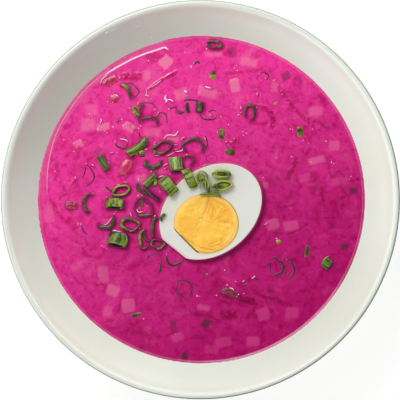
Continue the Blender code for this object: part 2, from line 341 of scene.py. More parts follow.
@dataclass(frozen=True)
class Yolk:
    """Hard-boiled yolk: golden crumb, paler towards its edge, an olive rim, with painted shade in its cracks and
    painted light on its raised crumbs.
    """

    gold: Colour = (0.93, 0.460, 0.032, 1.0)
    bright: Colour = (0.98, 0.600, 0.080, 1.0)
    pale: Colour = (0.98, 0.690, 0.240, 1.0)
    crease: Colour = (0.78, 0.300, 0.012, 1.0)
    # brown: the painted shade colour of cracks and troughs
    brown: Colour = (0.46, 0.180, 0.015, 1.0)
    # dark: painted shadow colour in the gap along the yolk's lower-left side
    dark: Colour = (0.10, 0.050, 0.008, 1.0)
    olive: Colour = (0.26, 0.250, 0.035, 1.0)

    def make(self) -> bpy.types.Material:
        """Return the material."""
        g = Graph("egg_yolk")
        crumb = g.grain(1.1, 5.0, rough=0.7, twist=0.4)
        patch = g.grain(5.0, 3.0, twist=0.8)
        colour = g.mix(g.step(patch, 0.35, 0.65), self.gold, self.bright)
        colour = g.mix(g.step(crumb, 0.5, 0.85) * 0.6, colour, self.pale)
        colour = g.mix(g.step(crumb, 0.45, 0.2) * 0.5, colour, self.gold)
        split = g.math("ABSOLUTE", g.grain(2.6, 4.0, rough=0.6, twist=0.8) - 0.5)
        colour = g.mix(g.step(split, 0.03, 0.0) * 0.3, colour, self.crease)
        colour = g.mix(g.attribute("pale"), colour, self.pale)
        # Painted shade in cracks and troughs.
        colour = g.mix(g.attribute("painted_crack_shade"), colour, self.brown)
        # Painted shadow in the lower-left gap.
        colour = g.mix(g.attribute("gap"), colour, self.dark)
        colour = g.mix(g.attribute("olive"), colour, self.olive)
        g.surface(Base_Color=colour, Roughness=0.62 + g.step(crumb, 0.2, 0.8) * 0.2,
                  Normal=g.bump(crumb * 0.7 + patch * 0.3, 0.5, 0.6))
        g.surface(Subsurface_Weight=0.1, Subsurface_Scale=0.002)
        return g.material


@dataclass(frozen=True)
class Leaf:
    """Wet spring onion leaf: lengthwise stripes, brighter cut edges, a painted highlight on ends towards the lamp,
    and dark below its wet line, soup stain with painted shade and painted soup reflection.
    """

    deep: Colour = (0.020, 0.042, 0.003, 1.0)
    green: Colour = (0.095, 0.175, 0.008, 1.0)
    lime: Colour = (0.330, 0.400, 0.014, 1.0)
    # pale: painted highlight colour for the ends of cut tubes that face the lamp
    pale: Colour = (0.250, 0.370, 0.075, 1.0)
    brown: Colour = (0.075, 0.030, 0.012, 1.0)
    # plum: soup stain with painted shade and painted soup reflection, below the leaf's wet line
    plum: Colour = (0.060, 0.006, 0.026, 1.0)

    def make(self) -> bpy.types.Material:
        """Return the material."""
        g = Graph("spring_onion")
        around, along, tone = g.parts(g.attribute("leaf_map", "Vector"))
        lines = g.add("CombineXYZ", inputs={0: around * 1.7, 1: along * 0.3, 2: tone * 5.0})
        stripe = g.add("TexNoise", inputs={"Vector": lines, "Scale": 1.0, "Detail": 2.0, "Roughness": 0.5})
        blot = g.grain(1.4, 3.0)
        lime = g.attribute("lime") + g.attribute("cut") * 0.35 + (blot - 0.5) * 0.9
        bright = g.mix(g.step(lime, 0.0, 1.0), self.green, self.lime)
        # Painted highlight on the ends of cut tubes that face the lamp.
        bright = g.mix(g.attribute("pale") * g.step(stripe, 0.38, 0.6), bright, self.pale)
        colour = g.mix(g.step(stripe, 0.34, 0.60), self.deep, bright)
        brown = g.attribute("brown") + (g.grain(0.9, 3.0) - 0.5) * 1.2
        colour = g.mix(g.step(brown, 0.15, 0.75), colour, self.brown)
        # Plum below the wet line: soup stain with painted shade and painted soup reflection.
        colour = g.mix(g.step(g.attribute("soak_and_shade") + (blot - 0.5) * 0.5, 0.35, 0.85), colour, self.plum)
        g.surface(Base_Color=colour, Roughness=0.24 + g.step(stripe, 0.3, 0.7) * 0.12,
                  Coat_Weight=0.3 + g.step(blot, 0.4, 0.7) * 0.5,
                  Normal=g.bump(stripe, 0.08, 0.5))
        g.surface(Coat_Roughness=0.08, Specular_IOR_Level=0.4)
        return g.material


@dataclass(frozen=True)
class Beet:
    """Cooked beet under a film of soup."""

    dark: Colour = (0.34, 0.003, 0.055, 1.0)
    red: Colour = (0.66, 0.008, 0.110, 1.0)
    deep: Colour = (0.150, 0.002, 0.030, 1.0)
    film: Colour = (0.80, 0.030, 0.210, 1.0)

    def make(self) -> bpy.types.Material:
        """Return the material."""
        g = Graph("beet")
        fibre = g.grain(1.0, 4.0, rough=0.65, twist=1.2)
        colour = g.mix(g.step(fibre, 0.25, 0.75), self.dark, self.red)
        colour = g.mix(g.attribute("deep"), colour,
                       g.mix(g.step(fibre, 0.45, 0.7) * 0.5, self.deep, self.red))
        colour = g.mix(g.attribute("film") * g.step(g.grain(2.2, 3.0), 0.0, 1.0), colour, self.film)
        g.surface(Base_Color=colour, Roughness=0.2 + g.step(fibre, 0.3, 0.7) * 0.15,
                  Coat_Weight=0.6 + g.step(g.grain(1.6), 0.4, 0.7) * 0.4,
                  Normal=g.bump(fibre, 0.12, 0.6))
        g.surface(Coat_Roughness=0.05)
        return g.material


@dataclass(frozen=True)
class Droplet:
    """Small wet beads, flecks and folds, painted white as highlights where they catch the light."""

    tint: Colour = (0.86, 0.20, 0.44, 1.0)
    # white: the painted highlight colour
    white: Colour = (1.0, 0.88, 0.94, 1.0)

    def make(self) -> bpy.types.Material:
        """Return the material."""
        g = Graph("bead")
        g.surface(Base_Color=g.mix(g.attribute("painted_glint"), self.tint, self.white),
                  Roughness=0.1 + g.grain(1.0) * 0.1)
        g.surface(Coat_Weight=1.0, Coat_Roughness=0.03)
        return g.material


# ------------------------------------------------------------------ mesh tools


def finish_piece(
    name: str,
    shape: bmesh.types.BMesh,
    material: bpy.types.Material,
    nodes: Sequence[str] = (),
    recalculate: bool = True,
) -> bpy.types.Object:
    """Turn a shape into a piece that rides on the one body.

    Args:
        name: the piece's name.
        shape: its mesh, in place; freed here.
        material: its finish.
        nodes: the solids it stands for.
        recalculate: whether faces are turned outwards first.

    Returns:
        The new object.
    """
    if recalculate:
        bmesh.ops.recalc_face_normals(shape, faces=shape.faces[:])
    mesh = bpy.data.meshes.new(name)
    shape.to_mesh(mesh)
    shape.free()
    mesh.polygons.foreach_set("use_smooth", [True] * len(mesh.polygons))
    mesh.materials.append(material)
    piece = bpy.data.objects.new(name, mesh)
    bpy.context.scene.collection.objects.link(piece)
    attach(piece, "root")
    if nodes:
        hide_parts(*nodes)
    LOG.info("%s: %d faces, stands for %d solids", name, len(mesh.polygons), len(nodes))
    return piece


def store(mesh: bpy.types.Mesh, name: str, values: np.ndarray) -> None:
    """Store one number per point on a mesh."""
    layer = mesh.attributes.new(name, "FLOAT", "POINT")
    layer.data.foreach_set("value", np.ascontiguousarray(values, np.float32))


def points_of(mesh: bpy.types.Mesh) -> np.ndarray:
    """Return a mesh's points as rows, in metres."""
    flat = np.empty(len(mesh.vertices) * 3, np.float32)
    mesh.vertices.foreach_get("co", flat)
    return flat.reshape(-1, 3).astype(float)


def ease(value: np.ndarray, low: float, high: float) -> np.ndarray:
    """Return 0 at low and 1 at high, with a smooth way between."""
    t = np.clip((value - low) / (high - low), 0.0, 1.0)
    return t * t * (3.0 - 2.0 * t)


def rolled(spots: np.ndarray, size: float, octaves: int = 3, seed: float = 0.0) -> np.ndarray:
    """Return a noise between about -1 and 1 at rows of millimetres."""
    return np.array([
        noise.fractal(Vector((p[0] / size + seed, p[1] / size - seed, seed)), 1.0, 2.0, octaves)
        for p in spots
    ])


def turned(degrees: float) -> tuple[float, float]:
    """Return the cosine and sine of an angle."""
    return math.cos(math.radians(degrees)), math.sin(math.radians(degrees))


# ------------------------------------------------------------------- the bowl


@dataclass
class Bowl:
    """The glazed bowl: straight flaring wall, rolled lip, foot ring."""

    steps: int = 72
    inside_mm: tuple = (
        (0.0, 9.0), (20.0, 9.8), (36.0, 13.4), (50.0, 19.0), (63.0, 26.2),
        (74.0, 33.6), (83.3, 42.0), (90.6, 50.6), (94.8, 57.0), (95.9, 59.6),
    )
    lip_mm: tuple = ((96.8, 61.2), (97.9, 62.0), (99.0, 61.9), (99.9, 61.1), (100.05, 60.0))
    outside_mm: tuple = (
        (97.6, 56.2), (92.2, 48.0), (85.0, 39.2), (76.0, 31.2), (64.0, 22.6),
        (52.0, 15.4), (43.0, 10.6), (38.6, 7.6), (37.3, 4.6),
    )
    foot_mm: tuple = (
        (37.1, 1.2), (36.9, 0.35), (36.2, 0.0), (33.6, 0.0), (32.8, 0.3), (32.5, 1.2),
        (31.8, 3.6), (30.4, 4.5), (15.0, 4.6), (0.0, 4.6),
    )

    drops_mm: tuple = (
        (-43.2, 85.2, 3.4, 1.3, 24.0), (-46.6, 83.8, 2.4, 1.1, 28.0), (-31.0, 87.0, 2.6, 1.9, 20.0),
        (-24.8, 82.4, 1.6, 1.2, 40.0), (3.0, 90.2, 2.4, 0.9, -4.0), (15.6, 89.0, 1.8, 0.9, -12.0),
    )

    def profile(self) -> list[tuple[float, float]]:
        """Return the outline from the inside's middle, over the lip, to the base's middle."""
        return [*self.inside_mm, *self.lip_mm, *self.outside_mm, *self.foot_mm]

    def build(self, finish: bpy.types.Material) -> bpy.types.Object:
        """Return the bowl, turned from its outline."""
        shape = bmesh.new()
        line = [shape.verts.new((r * MM, 0.0, z * MM)) for r, z in self.profile()]
        for start, end in zip(line, line[1:]):
            shape.edges.new((start, end))
        bmesh.ops.spin(shape, geom=shape.verts[:] + shape.edges[:], cent=(0, 0, 0), axis=(0, 0, 1),
                       angle=math.tau, steps=self.steps, use_merge=True)
        bmesh.ops.remove_doubles(shape, verts=shape.verts, dist=0.01 * MM)
        piece = finish_piece("bowl", shape, finish, ["bowl"])
        smooth = piece.modifiers.new("smooth", "SUBSURF")
        smooth.levels = 2
        smooth.render_levels = 2
        self.drops(finish)
        return piece

    def drops(self, finish: bpy.types.Material) -> bpy.types.Object:
        """Return the few clear drops that hang on the wall."""
        shape = bmesh.new()
        radii, heights = zip(*self.inside_mm)
        for x, y, long, wide, turn in self.drops_mm:
            made = bmesh.ops.create_icosphere(shape, subdivisions=3, radius=1.0)["verts"]
            bmesh.ops.scale(shape, vec=(long * 0.5 * MM, wide * 0.5 * MM, 0.5 * MM), verts=made)
            bmesh.ops.rotate(shape, matrix=Matrix.Rotation(math.radians(turn), 3, "Z"), verts=made)
            reach = math.hypot(x, y)
            height = float(np.interp(reach, radii, heights))
            slope = float(np.interp(reach + 1.0, radii, heights)) - height
            lean = Matrix.Rotation(math.atan(slope), 3, Vector((y, -x, 0.0)))
            bmesh.ops.rotate(shape, matrix=lean, verts=made)
            bmesh.ops.translate(shape, vec=(x * MM, y * MM, (height + 0.05) * MM), verts=made)
        return finish_piece("wall_drops", shape, finish)


# ------------------------------------------------------------------- the soup


class Sunk(Enum):
    """What lies just under the surface, or a painted highlight on it."""

    CUCUMBER = "pale"
    BEET = "beet"
    LEAF = "leaf"
    PAINTED_HIGHLIGHT = "painted_highlight"


@dataclass(frozen=True)
class Patch:
    """A sunk piece that shows through: place and size in millimetres."""

    kind: Sunk
    x: float
    y: float
    length: float
    width: float
    turn: float = 0.0
    strength: float = 0.7
    soft: float = 0.8
    lift: float = 0.0

    def cover(self, spots: np.ndarray, wobble: np.ndarray) -> np.ndarray:
        """Return how much of it shows at each point."""
        c, s = turned(self.turn)
        dx, dy = spots[:, 0] - self.x, spots[:, 1] - self.y
        along = np.abs(dx * c + dy * s) - self.length / 2.0
        across = np.abs(dy * c - dx * s) - self.width / 2.0
        corner = 0.18 * min(self.length, self.width)
        ax, ay = along + corner, across + corner
        gap = np.hypot(np.maximum(ax, 0), np.maximum(ay, 0)) + np.minimum(np.maximum(ax, ay), 0) - corner
        gap = gap + wobble * 0.3
        return ease(-gap, -self.soft * 0.6, self.soft * 0.6)


@dataclass(frozen=True)
class Stroke:
    """A sunk shred, or a fold of the surface painted white as a highlight."""

    kind: Sunk
    path: tuple
    width: float
    strength: float = 0.8
    lift: float = 0.0
    soft: float = 0.35

    def cover(self, spots: np.ndarray, wobble: np.ndarray) -> np.ndarray:
        """Return how much of it shows at each point."""
        gap = np.full(len(spots), 1e9)
        for (x0, y0), (x1, y1) in zip(self.path, self.path[1:]):
            span = np.array((x1 - x0, y1 - y0))
            t = np.clip(((spots - (x0, y0)) @ span) / (span @ span), 0.0, 1.0)
            gap = np.minimum(gap, np.hypot(spots[:, 0] - x0 - t * span[0], spots[:, 1] - y0 - t * span[1]))
        gap = gap + wobble * 0.25 * self.width
        return ease(-gap, -self.width / 2.0 - self.soft, -self.width / 2.0 + self.soft * 0.4)


CUCUMBERS = (
    Patch(Sunk.CUCUMBER, -17.8, 70.2, 6.2, 5.6, 42, 0.85, 0.6, 0.10),
    Patch(Sunk.CUCUMBER, -50.0, 37.2, 6.4, 3.6, 8, 0.75, 0.8, 0.15),
    Patch(Sunk.CUCUMBER, -57.5, 38.5, 7.0, 6.0, 0, 0.45, 1.6),
    Patch(Sunk.CUCUMBER, -62.5, 28.4, 5.0, 3.4, 30, 0.6, 1.0, 0.15),
    Patch(Sunk.CUCUMBER, -36.6, 37.0, 6.0, 4.2, -32, 0.7, 0.8, 0.15),
    Patch(Sunk.CUCUMBER, -56.0, 46.0, 6.0, 5.0, 0, 0.35, 1.8),
    Patch(Sunk.CUCUMBER, -30.5, 11.0, 5.5, 3.6, 10, 0.55, 1.4),
    Patch(Sunk.CUCUMBER, -25.0, 34.5, 8.0, 4.0, 0, 0.35, 2.0),
    Patch(Sunk.CUCUMBER, -14.5, 31.0, 6.0, 4.5, 20, 0.55, 1.0),
    Patch(Sunk.CUCUMBER, -27.5, 63.5, 3.2, 5.0, 0, 0.5, 1.5),
    Patch(Sunk.CUCUMBER, -10.0, 54.0, 7.0, 5.0, 20, 0.5, 1.5),
    Patch(Sunk.CUCUMBER, 3.5, 54.5, 9.0, 4.5, -15, 0.5, 1.4, 0.2),
    Patch(Sunk.CUCUMBER, 6.5, 74.2, 9.0, 2.4, 0, 0.4, 1.4),
    Patch(Sunk.CUCUMBER, 24.5, 70.2, 8.5, 4.4, -14, 0.55, 1.2),
    Patch(Sunk.CUCUMBER, 17.5, 58.2, 4.6, 6.6, 12, 0.8, 0.8, 0.15),
    Patch(Sunk.CUCUMBER, 37.5, 57.5, 3.2, 5.0, 0, 0.4, 1.5),
    Patch(Sunk.CUCUMBER, 58.5, 45.0, 7.0, 4.6, 0, 0.45, 1.6),
    Patch(Sunk.CUCUMBER, 68.0, 27.5, 5.4, 5.2, 0, 0.55, 1.0),
    Patch(Sunk.CUCUMBER, 59.0, 20.0, 8.2, 3.2, 16, 0.7, 0.9, 0.1),
    Patch(Sunk.CUCUMBER, 53.0, 11.0, 6.0, 3.5, 15, 0.3, 1.6),
    Patch(Sunk.CUCUMBER, 71.0, 9.5, 8.0, 4.0, 10, 0.3, 1.8),
    Patch(Sunk.CUCUMBER, 33.0, 7.4, 2.8, 2.8, 0, 0.75, 0.8),
    Patch(Sunk.CUCUMBER, 36.6, -12.6, 6.4, 5.2, 18, 0.7, 0.7, 0.15),
    Patch(Sunk.CUCUMBER, 46.0, -13.4, 7.4, 4.8, 8, 0.6, 0.9),
    Patch(Sunk.CUCUMBER, 13.0, -29.0, 3.0, 3.2, 0, 0.4, 1.2),
    Patch(Sunk.CUCUMBER, 31.8, -58.4, 6.0, 6.2, 18, 0.6, 0.8, 0.1),
    Patch(Sunk.CUCUMBER, 26.6, -72.2, 6.4, 4.8, 2, 0.6, 0.8, 0.1),
    Patch(Sunk.CUCUMBER, 46.6, -57.6, 6.4, 5.2, 0, 0.5, 1.2),
    Patch(Sunk.CUCUMBER, 11.5, -72.8, 8.4, 4.6, 12, 0.5, 1.2),
    Patch(Sunk.CUCUMBER, 5.5, -76.4, 7.0, 4.0, 0, 0.35, 1.4),
    Patch(Sunk.CUCUMBER, 1.5, -55.2, 6.4, 2.6, -10, 0.65, 0.9),
    Patch(Sunk.CUCUMBER, -12.0, -70.4, 6.0, 4.0, 20, 0.45, 1.2),
    Patch(Sunk.CUCUMBER, -50.0, -38.4, 5.6, 8.6, 4, 0.5, 1.2),
    Patch(Sunk.CUCUMBER, -45.0, -46.6, 6.2, 5.4, -20, 0.75, 0.8, 0.1),
    Patch(Sunk.CUCUMBER, -37.0, -54.2, 6.6, 6.6, 6, 0.7, 0.9, 0.1),
    Patch(Sunk.CUCUMBER, -47.6, -57.0, 4.6, 5.0, 0, 0.4, 1.4),
    Patch(Sunk.CUCUMBER, -63.5, -34.0, 6.5, 3.6, 20, 0.3, 1.8),
    Patch(Sunk.CUCUMBER, -27.5, -66.6, 4.0, 3.4, 0, 0.3, 1.4),
    Patch(Sunk.CUCUMBER, -78.0, -7.0, 5.0, 9.0, 8, 0.35, 2.4),
)
SUNK_BEETS = (
    Patch(Sunk.BEET, -36.0, 63.0, 11.5, 4.0, 0, 0.85, 0.9, 0.1),
    Patch(Sunk.BEET, -15.2, 63.4, 5.0, 2.2, 30, 0.9, 0.7),
    Patch(Sunk.BEET, -38.0, 13.0, 9.0, 4.0, 38, 0.85, 1.0),
    Patch(Sunk.BEET, -35.2, 18.0, 3.6, 7.0, -12, 0.8, 1.0),
    Patch(Sunk.BEET, -70.0, 28.0, 5.0, 5.0, 0, 0.5, 1.8),
    Patch(Sunk.BEET, -64.0, 22.5, 4.0, 4.5, 20, 0.6, 1.4),
    Patch(Sunk.BEET, -74.0, 27.5, 2.6, 5.5, 0, 0.4, 1.4),
    Patch(Sunk.BEET, -63.5, 4.0, 5.6, 6.6, 30, 0.5, 1.6),
    Patch(Sunk.BEET, -73.5, 15.0, 3.2, 6.0, 0, 0.45, 1.4),
    Patch(Sunk.BEET, 17.6, 29.6, 5.0, 3.0, 20, 0.75, 0.9),
    Patch(Sunk.BEET, 14.5, 28.6, 2.8, 2.0, 0, 0.6, 0.8),
    Patch(Sunk.BEET, 36.0, 8.5, 6.0, 6.0, 0, 0.4, 2.0),
    Patch(Sunk.BEET, 58.0, 12.0, 5.0, 4.0, -10, 0.5, 1.5),
    Patch(Sunk.BEET, 61.5, 51.0, 5.0, 3.0, -30, 0.7, 1.2),
    Patch(Sunk.BEET, 49.5, 58.5, 5.0, 3.0, 20, 0.5, 1.6),
    Patch(Sunk.BEET, 66.5, -12.5, 4.0, 4.5, 0, 0.6, 1.6),
    Patch(Sunk.BEET, 14.4, -58.6, 8.6, 4.8, 0, 0.8, 1.2),
    Patch(Sunk.BEET, 23.5, -51.4, 8.0, 3.8, -14, 0.95, 0.9),
    Patch(Sunk.BEET, 14.5, -48.8, 11.0, 4.0, -16, 0.8, 0.9),
    Patch(Sunk.BEET, 0.5, -58.6, 12.0, 2.4, -8, 0.6, 1.2),
    Patch(Sunk.BEET, -28.0, -68.0, 6.0, 3.0, 0, 0.5, 1.5),
    Patch(Sunk.BEET, 39.6, -51.6, 4.0, 2.6, -20, 0.7, 1.0),
    Patch(Sunk.BEET, -66.0, -12.5, 8.0, 3.4, -52, 0.55, 1.2),
    Patch(Sunk.BEET, 78.6, 10.0, 4.0, 1.8, 20, 0.7, 0.9),
)
SMALL_BEETS = (
    Patch(Sunk.BEET, -68.0, 23.0, 4.6, 1.8, 50, 0.75, 0.9),
    Patch(Sunk.BEET, -66.0, 14.0, 4.0, 2.4, -30, 0.75, 0.9),
    Patch(Sunk.BEET, -70.0, 5.0, 5.0, 1.8, -60, 0.8, 0.9),
    Patch(Sunk.BEET, -74.0, 11.5, 4.0, 1.6, 70, 0.7, 0.9),
    Patch(Sunk.BEET, -63.0, 26.5, 4.4, 2.0, 10, 0.65, 0.9),
    Patch(Sunk.BEET, -74.6, -3.0, 4.6, 1.8, -70, 0.7, 0.9),
    Patch(Sunk.BEET, -67.0, -5.5, 5.0, 2.0, -40, 0.8, 0.9),
    Patch(Sunk.BEET, -71.0, -9.5, 4.0, 2.0, -55, 0.75, 0.9),
    Patch(Sunk.BEET, -57.0, 21.0, 3.4, 2.0, 20, 0.6, 0.9),
    Patch(Sunk.BEET, -52.0, 12.0, 3.0, 2.0, -20, 0.55, 0.9),
    Patch(Sunk.BEET, -60.0, -2.0, 3.2, 1.8, 80, 0.6, 0.9),
    Patch(Sunk.BEET, -70.4, 17.6, 3.0, 1.8, 0, 0.7, 0.8),
    Patch(Sunk.LEAF, -64.8, 9.0, 2.4, 1.0, 40, 0.5, 0.6),
    Patch(Sunk.LEAF, -72.0, 1.0, 2.2, 1.0, 80, 0.5, 0.6),
)
SUNK_LEAVES = (
    Patch(Sunk.LEAF, 15.9, 75.0, 4.4, 5.0, 10, 0.45, 0.9),
    Patch(Sunk.LEAF, 43.5, 63.0, 4.6, 4.0, 30, 0.6, 1.0),
    Patch(Sunk.LEAF, 49.5, 62.0, 3.0, 2.2, -30, 0.4, 1.0),
    Patch(Sunk.LEAF, 77.8, 4.3, 4.0, 3.6, 0, 0.8, 1.2),
    Patch(Sunk.LEAF, 73.2, -24.0, 3.4, 3.4, 0, 0.8, 1.2),
    Patch(Sunk.LEAF, 57.2, 5.6, 2.6, 3.0, 0, 0.35, 1.2),
    Patch(Sunk.LEAF, 2.6, -63.2, 3.6, 4.6, -20, 0.8, 0.9),
    Patch(Sunk.LEAF, 5.0, -62.0, 2.4, 1.6, -20, 0.7, 0.7),
    Patch(Sunk.LEAF, -8.0, -80.0, 3.6, 3.2, -20, 0.85, 0.9),
    Patch(Sunk.LEAF, -14.2, -63.8, 3.2, 4.6, 0, 0.5, 0.8),
    Patch(Sunk.LEAF, -24.5, 4.6, 5.0, 3.4, -40, 0.3, 1.6),
    Patch(Sunk.LEAF, -52.6, 25.0, 3.0, 4.0, -30, 0.35, 1.2),
    Patch(Sunk.LEAF, 35.6, -45.4, 3.2, 5.2, 10, 0.35, 1.4),
    Patch(Sunk.LEAF, 26.5, 57.5, 2.8, 2.2, 0, 0.3, 1.2),
    Patch(Sunk.LEAF, -27.0, 73.6, 2.4, 3.4, -20, 0.35, 1.0),
    Patch(Sunk.LEAF, -73.5, 17.8, 2.4, 3.2, 0, 0.3, 1.2),
    Patch(Sunk.LEAF, -34.5, -45.2, 2.6, 5.0, -20, 0.25, 1.2),
    Patch(Sunk.LEAF, 65.0, 36.2, 2.4, 2.6, 0, 0.4, 1.2),
    Patch(Sunk.LEAF, 49.6, -26.4, 2.0, 3.2, -12, 0.5, 0.8),
    Patch(Sunk.LEAF, 38.4, -17.4, 1.6, 1.8, 0, 0.55, 0.8),
    Patch(Sunk.LEAF, -42.0, -34.0, 1.6, 1.2, 0, 0.4, 0.6),
    Patch(Sunk.LEAF, -7.0, 46.0, 3.0, 5.4, 20, 0.5, 1.2),
    Patch(Sunk.LEAF, -11.4, 44.8, 3.4, 1.8, -10, 0.6, 0.7),
    Patch(Sunk.LEAF, -42.2, 40.0, 2.2, 2.4, 30, 0.3, 0.8),
)
SHREDS = (
    Stroke(Sunk.BEET, ((-26.5, 56.2), (-22.0, 60.0), (-18.0, 62.2), (-12.6, 65.4)), 1.5, 0.75, 0.15),
    Stroke(Sunk.BEET, ((12.0, 64.4), (20.0, 65.2), (27.0, 65.4), (31.0, 66.6)), 1.3, 0.6),
    Stroke(Sunk.BEET, ((28.5, 47.4), (34.0, 46.0), (37.0, 42.0), (36.4, 37.6)), 3.0, 0.9, 0.1),
    Stroke(Sunk.BEET, ((39.8, 58.0), (42.5, 53.4), (46.0, 48.4), (50.0, 44.4), (55.0, 39.4)), 2.0, 0.7, 0.1),
    Stroke(Sunk.BEET, ((55.4, 41.2), (60.0, 39.6), (64.0, 36.6)), 1.6, 0.7),
    Stroke(Sunk.BEET, ((57.0, 40.0), (57.4, 36.0), (55.2, 30.0), (55.6, 26.0), (52.6, 21.0)), 1.5, 0.5),
    Stroke(Sunk.BEET, ((48.6, 21.0), (47.6, 17.0), (45.6, 13.6), (44.4, 10.2)), 2.4, 0.75, 0.1),
    Stroke(Sunk.BEET, ((63.8, 22.0), (65.2, 18.6), (65.6, 14.0), (67.0, 10.8),
                       (70.4, 14.8), (73.0, 11.4)), 1.0, 0.6),
    Stroke(Sunk.BEET, ((61.4, 5.6), (61.6, 2.0), (62.6, -0.6)), 1.6, 0.7),
    Stroke(Sunk.BEET, ((71.4, 0.6), (74.6, 2.0), (72.6, 4.4)), 1.3, 0.7),
    Stroke(Sunk.BEET, ((41.0, -3.8), (46.0, -3.2), (48.4, -2.0)), 0.8, 0.6),
    Stroke(Sunk.BEET, ((44.0, -17.6), (47.0, -16.8), (50.0, -15.2), (54.0, -12.6)), 0.9, 0.6),
    Stroke(Sunk.BEET, ((27.4, -47.4), (33.0, -49.8), (38.0, -51.0), (42.4, -53.0)), 1.8, 0.75),
    Stroke(Sunk.BEET, ((22.0, -38.2), (25.0, -39.6), (24.6, -42.0)), 1.0, 0.5),
    Stroke(Sunk.BEET, ((8.0, -50.0), (12.0, -52.2), (15.0, -53.8)), 0.9, 0.55),
    Stroke(Sunk.BEET, ((24.0, -52.0), (28.6, -53.4), (26.8, -56.4)), 1.4, 0.7),
    Stroke(Sunk.BEET, ((-77.0, -0.4), (-74.4, -5.6), (-70.0, -10.0), (-65.6, -15.0),
                       (-63.0, -17.6)), 1.6, 0.65),
    Stroke(Sunk.BEET, ((-63.4, 10.6), (-66.6, 6.4), (-67.6, 2.4)), 1.5, 0.55),
    Stroke(Sunk.BEET, ((-59.4, -19.6), (-57.6, -23.4), (-60.8, -24.8)), 0.9, 0.6),
    Stroke(Sunk.BEET, ((-53.4, -33.2), (-53.2, -39.6), (-50.4, -43.4)), 0.8, 0.5),
    Stroke(Sunk.BEET, ((-66.0, -38.0), (-62.8, -42.2), (-61.4, -43.6)), 1.0, 0.5),
    Stroke(Sunk.BEET, ((-46.4, 22.0), (-46.2, 15.0), (-44.0, 9.4)), 0.9, 0.5),
    Stroke(Sunk.BEET, ((60.0, -10.6), (63.4, -9.2), (68.4, -9.0)), 0.9, 0.5),
    Stroke(Sunk.BEET, ((51.0, -46.8), (55.0, -46.9)), 1.2, 0.5),
    Stroke(Sunk.BEET, ((-6.0, -56.6), (-1.0, -59.4), (4.0, -60.2)), 1.3, 0.55),
    Stroke(Sunk.BEET, ((-41.0, -52.0), (-41.6, -57.0), (-38.4, -59.4)), 0.9, 0.5),
    Stroke(Sunk.BEET, ((-48.6, -64.6), (-45.0, -66.0), (-42.6, -65.2)), 1.4, 0.45),
)
# Painted highlights: white folds along the crest of the soup's edge, where the lamp's glint falls.
CREST = (
    Stroke(Sunk.PAINTED_HIGHLIGHT, ((-16.6, 76.6), (-17.6, 77.3), (-19.0, 77.6), (-25.0, 75.6), (-29.0, 74.3),
                        (-35.0, 71.8),
                        (-40.0, 69.2), (-45.0, 66.4), (-49.0, 63.8)), 0.75, 0.9, 0.0, 0.1),
    Stroke(Sunk.PAINTED_HIGHLIGHT, ((-49.0, 65.2), (-56.0, 59.2), (-62.0, 52.8), (-68.0, 44.6), (-73.0, 35.8),
                        (-76.4, 26.0),
                        (-78.4, 15.0), (-78.8, 2.0)), 0.35, 0.35, 0.0, 0.6),
)
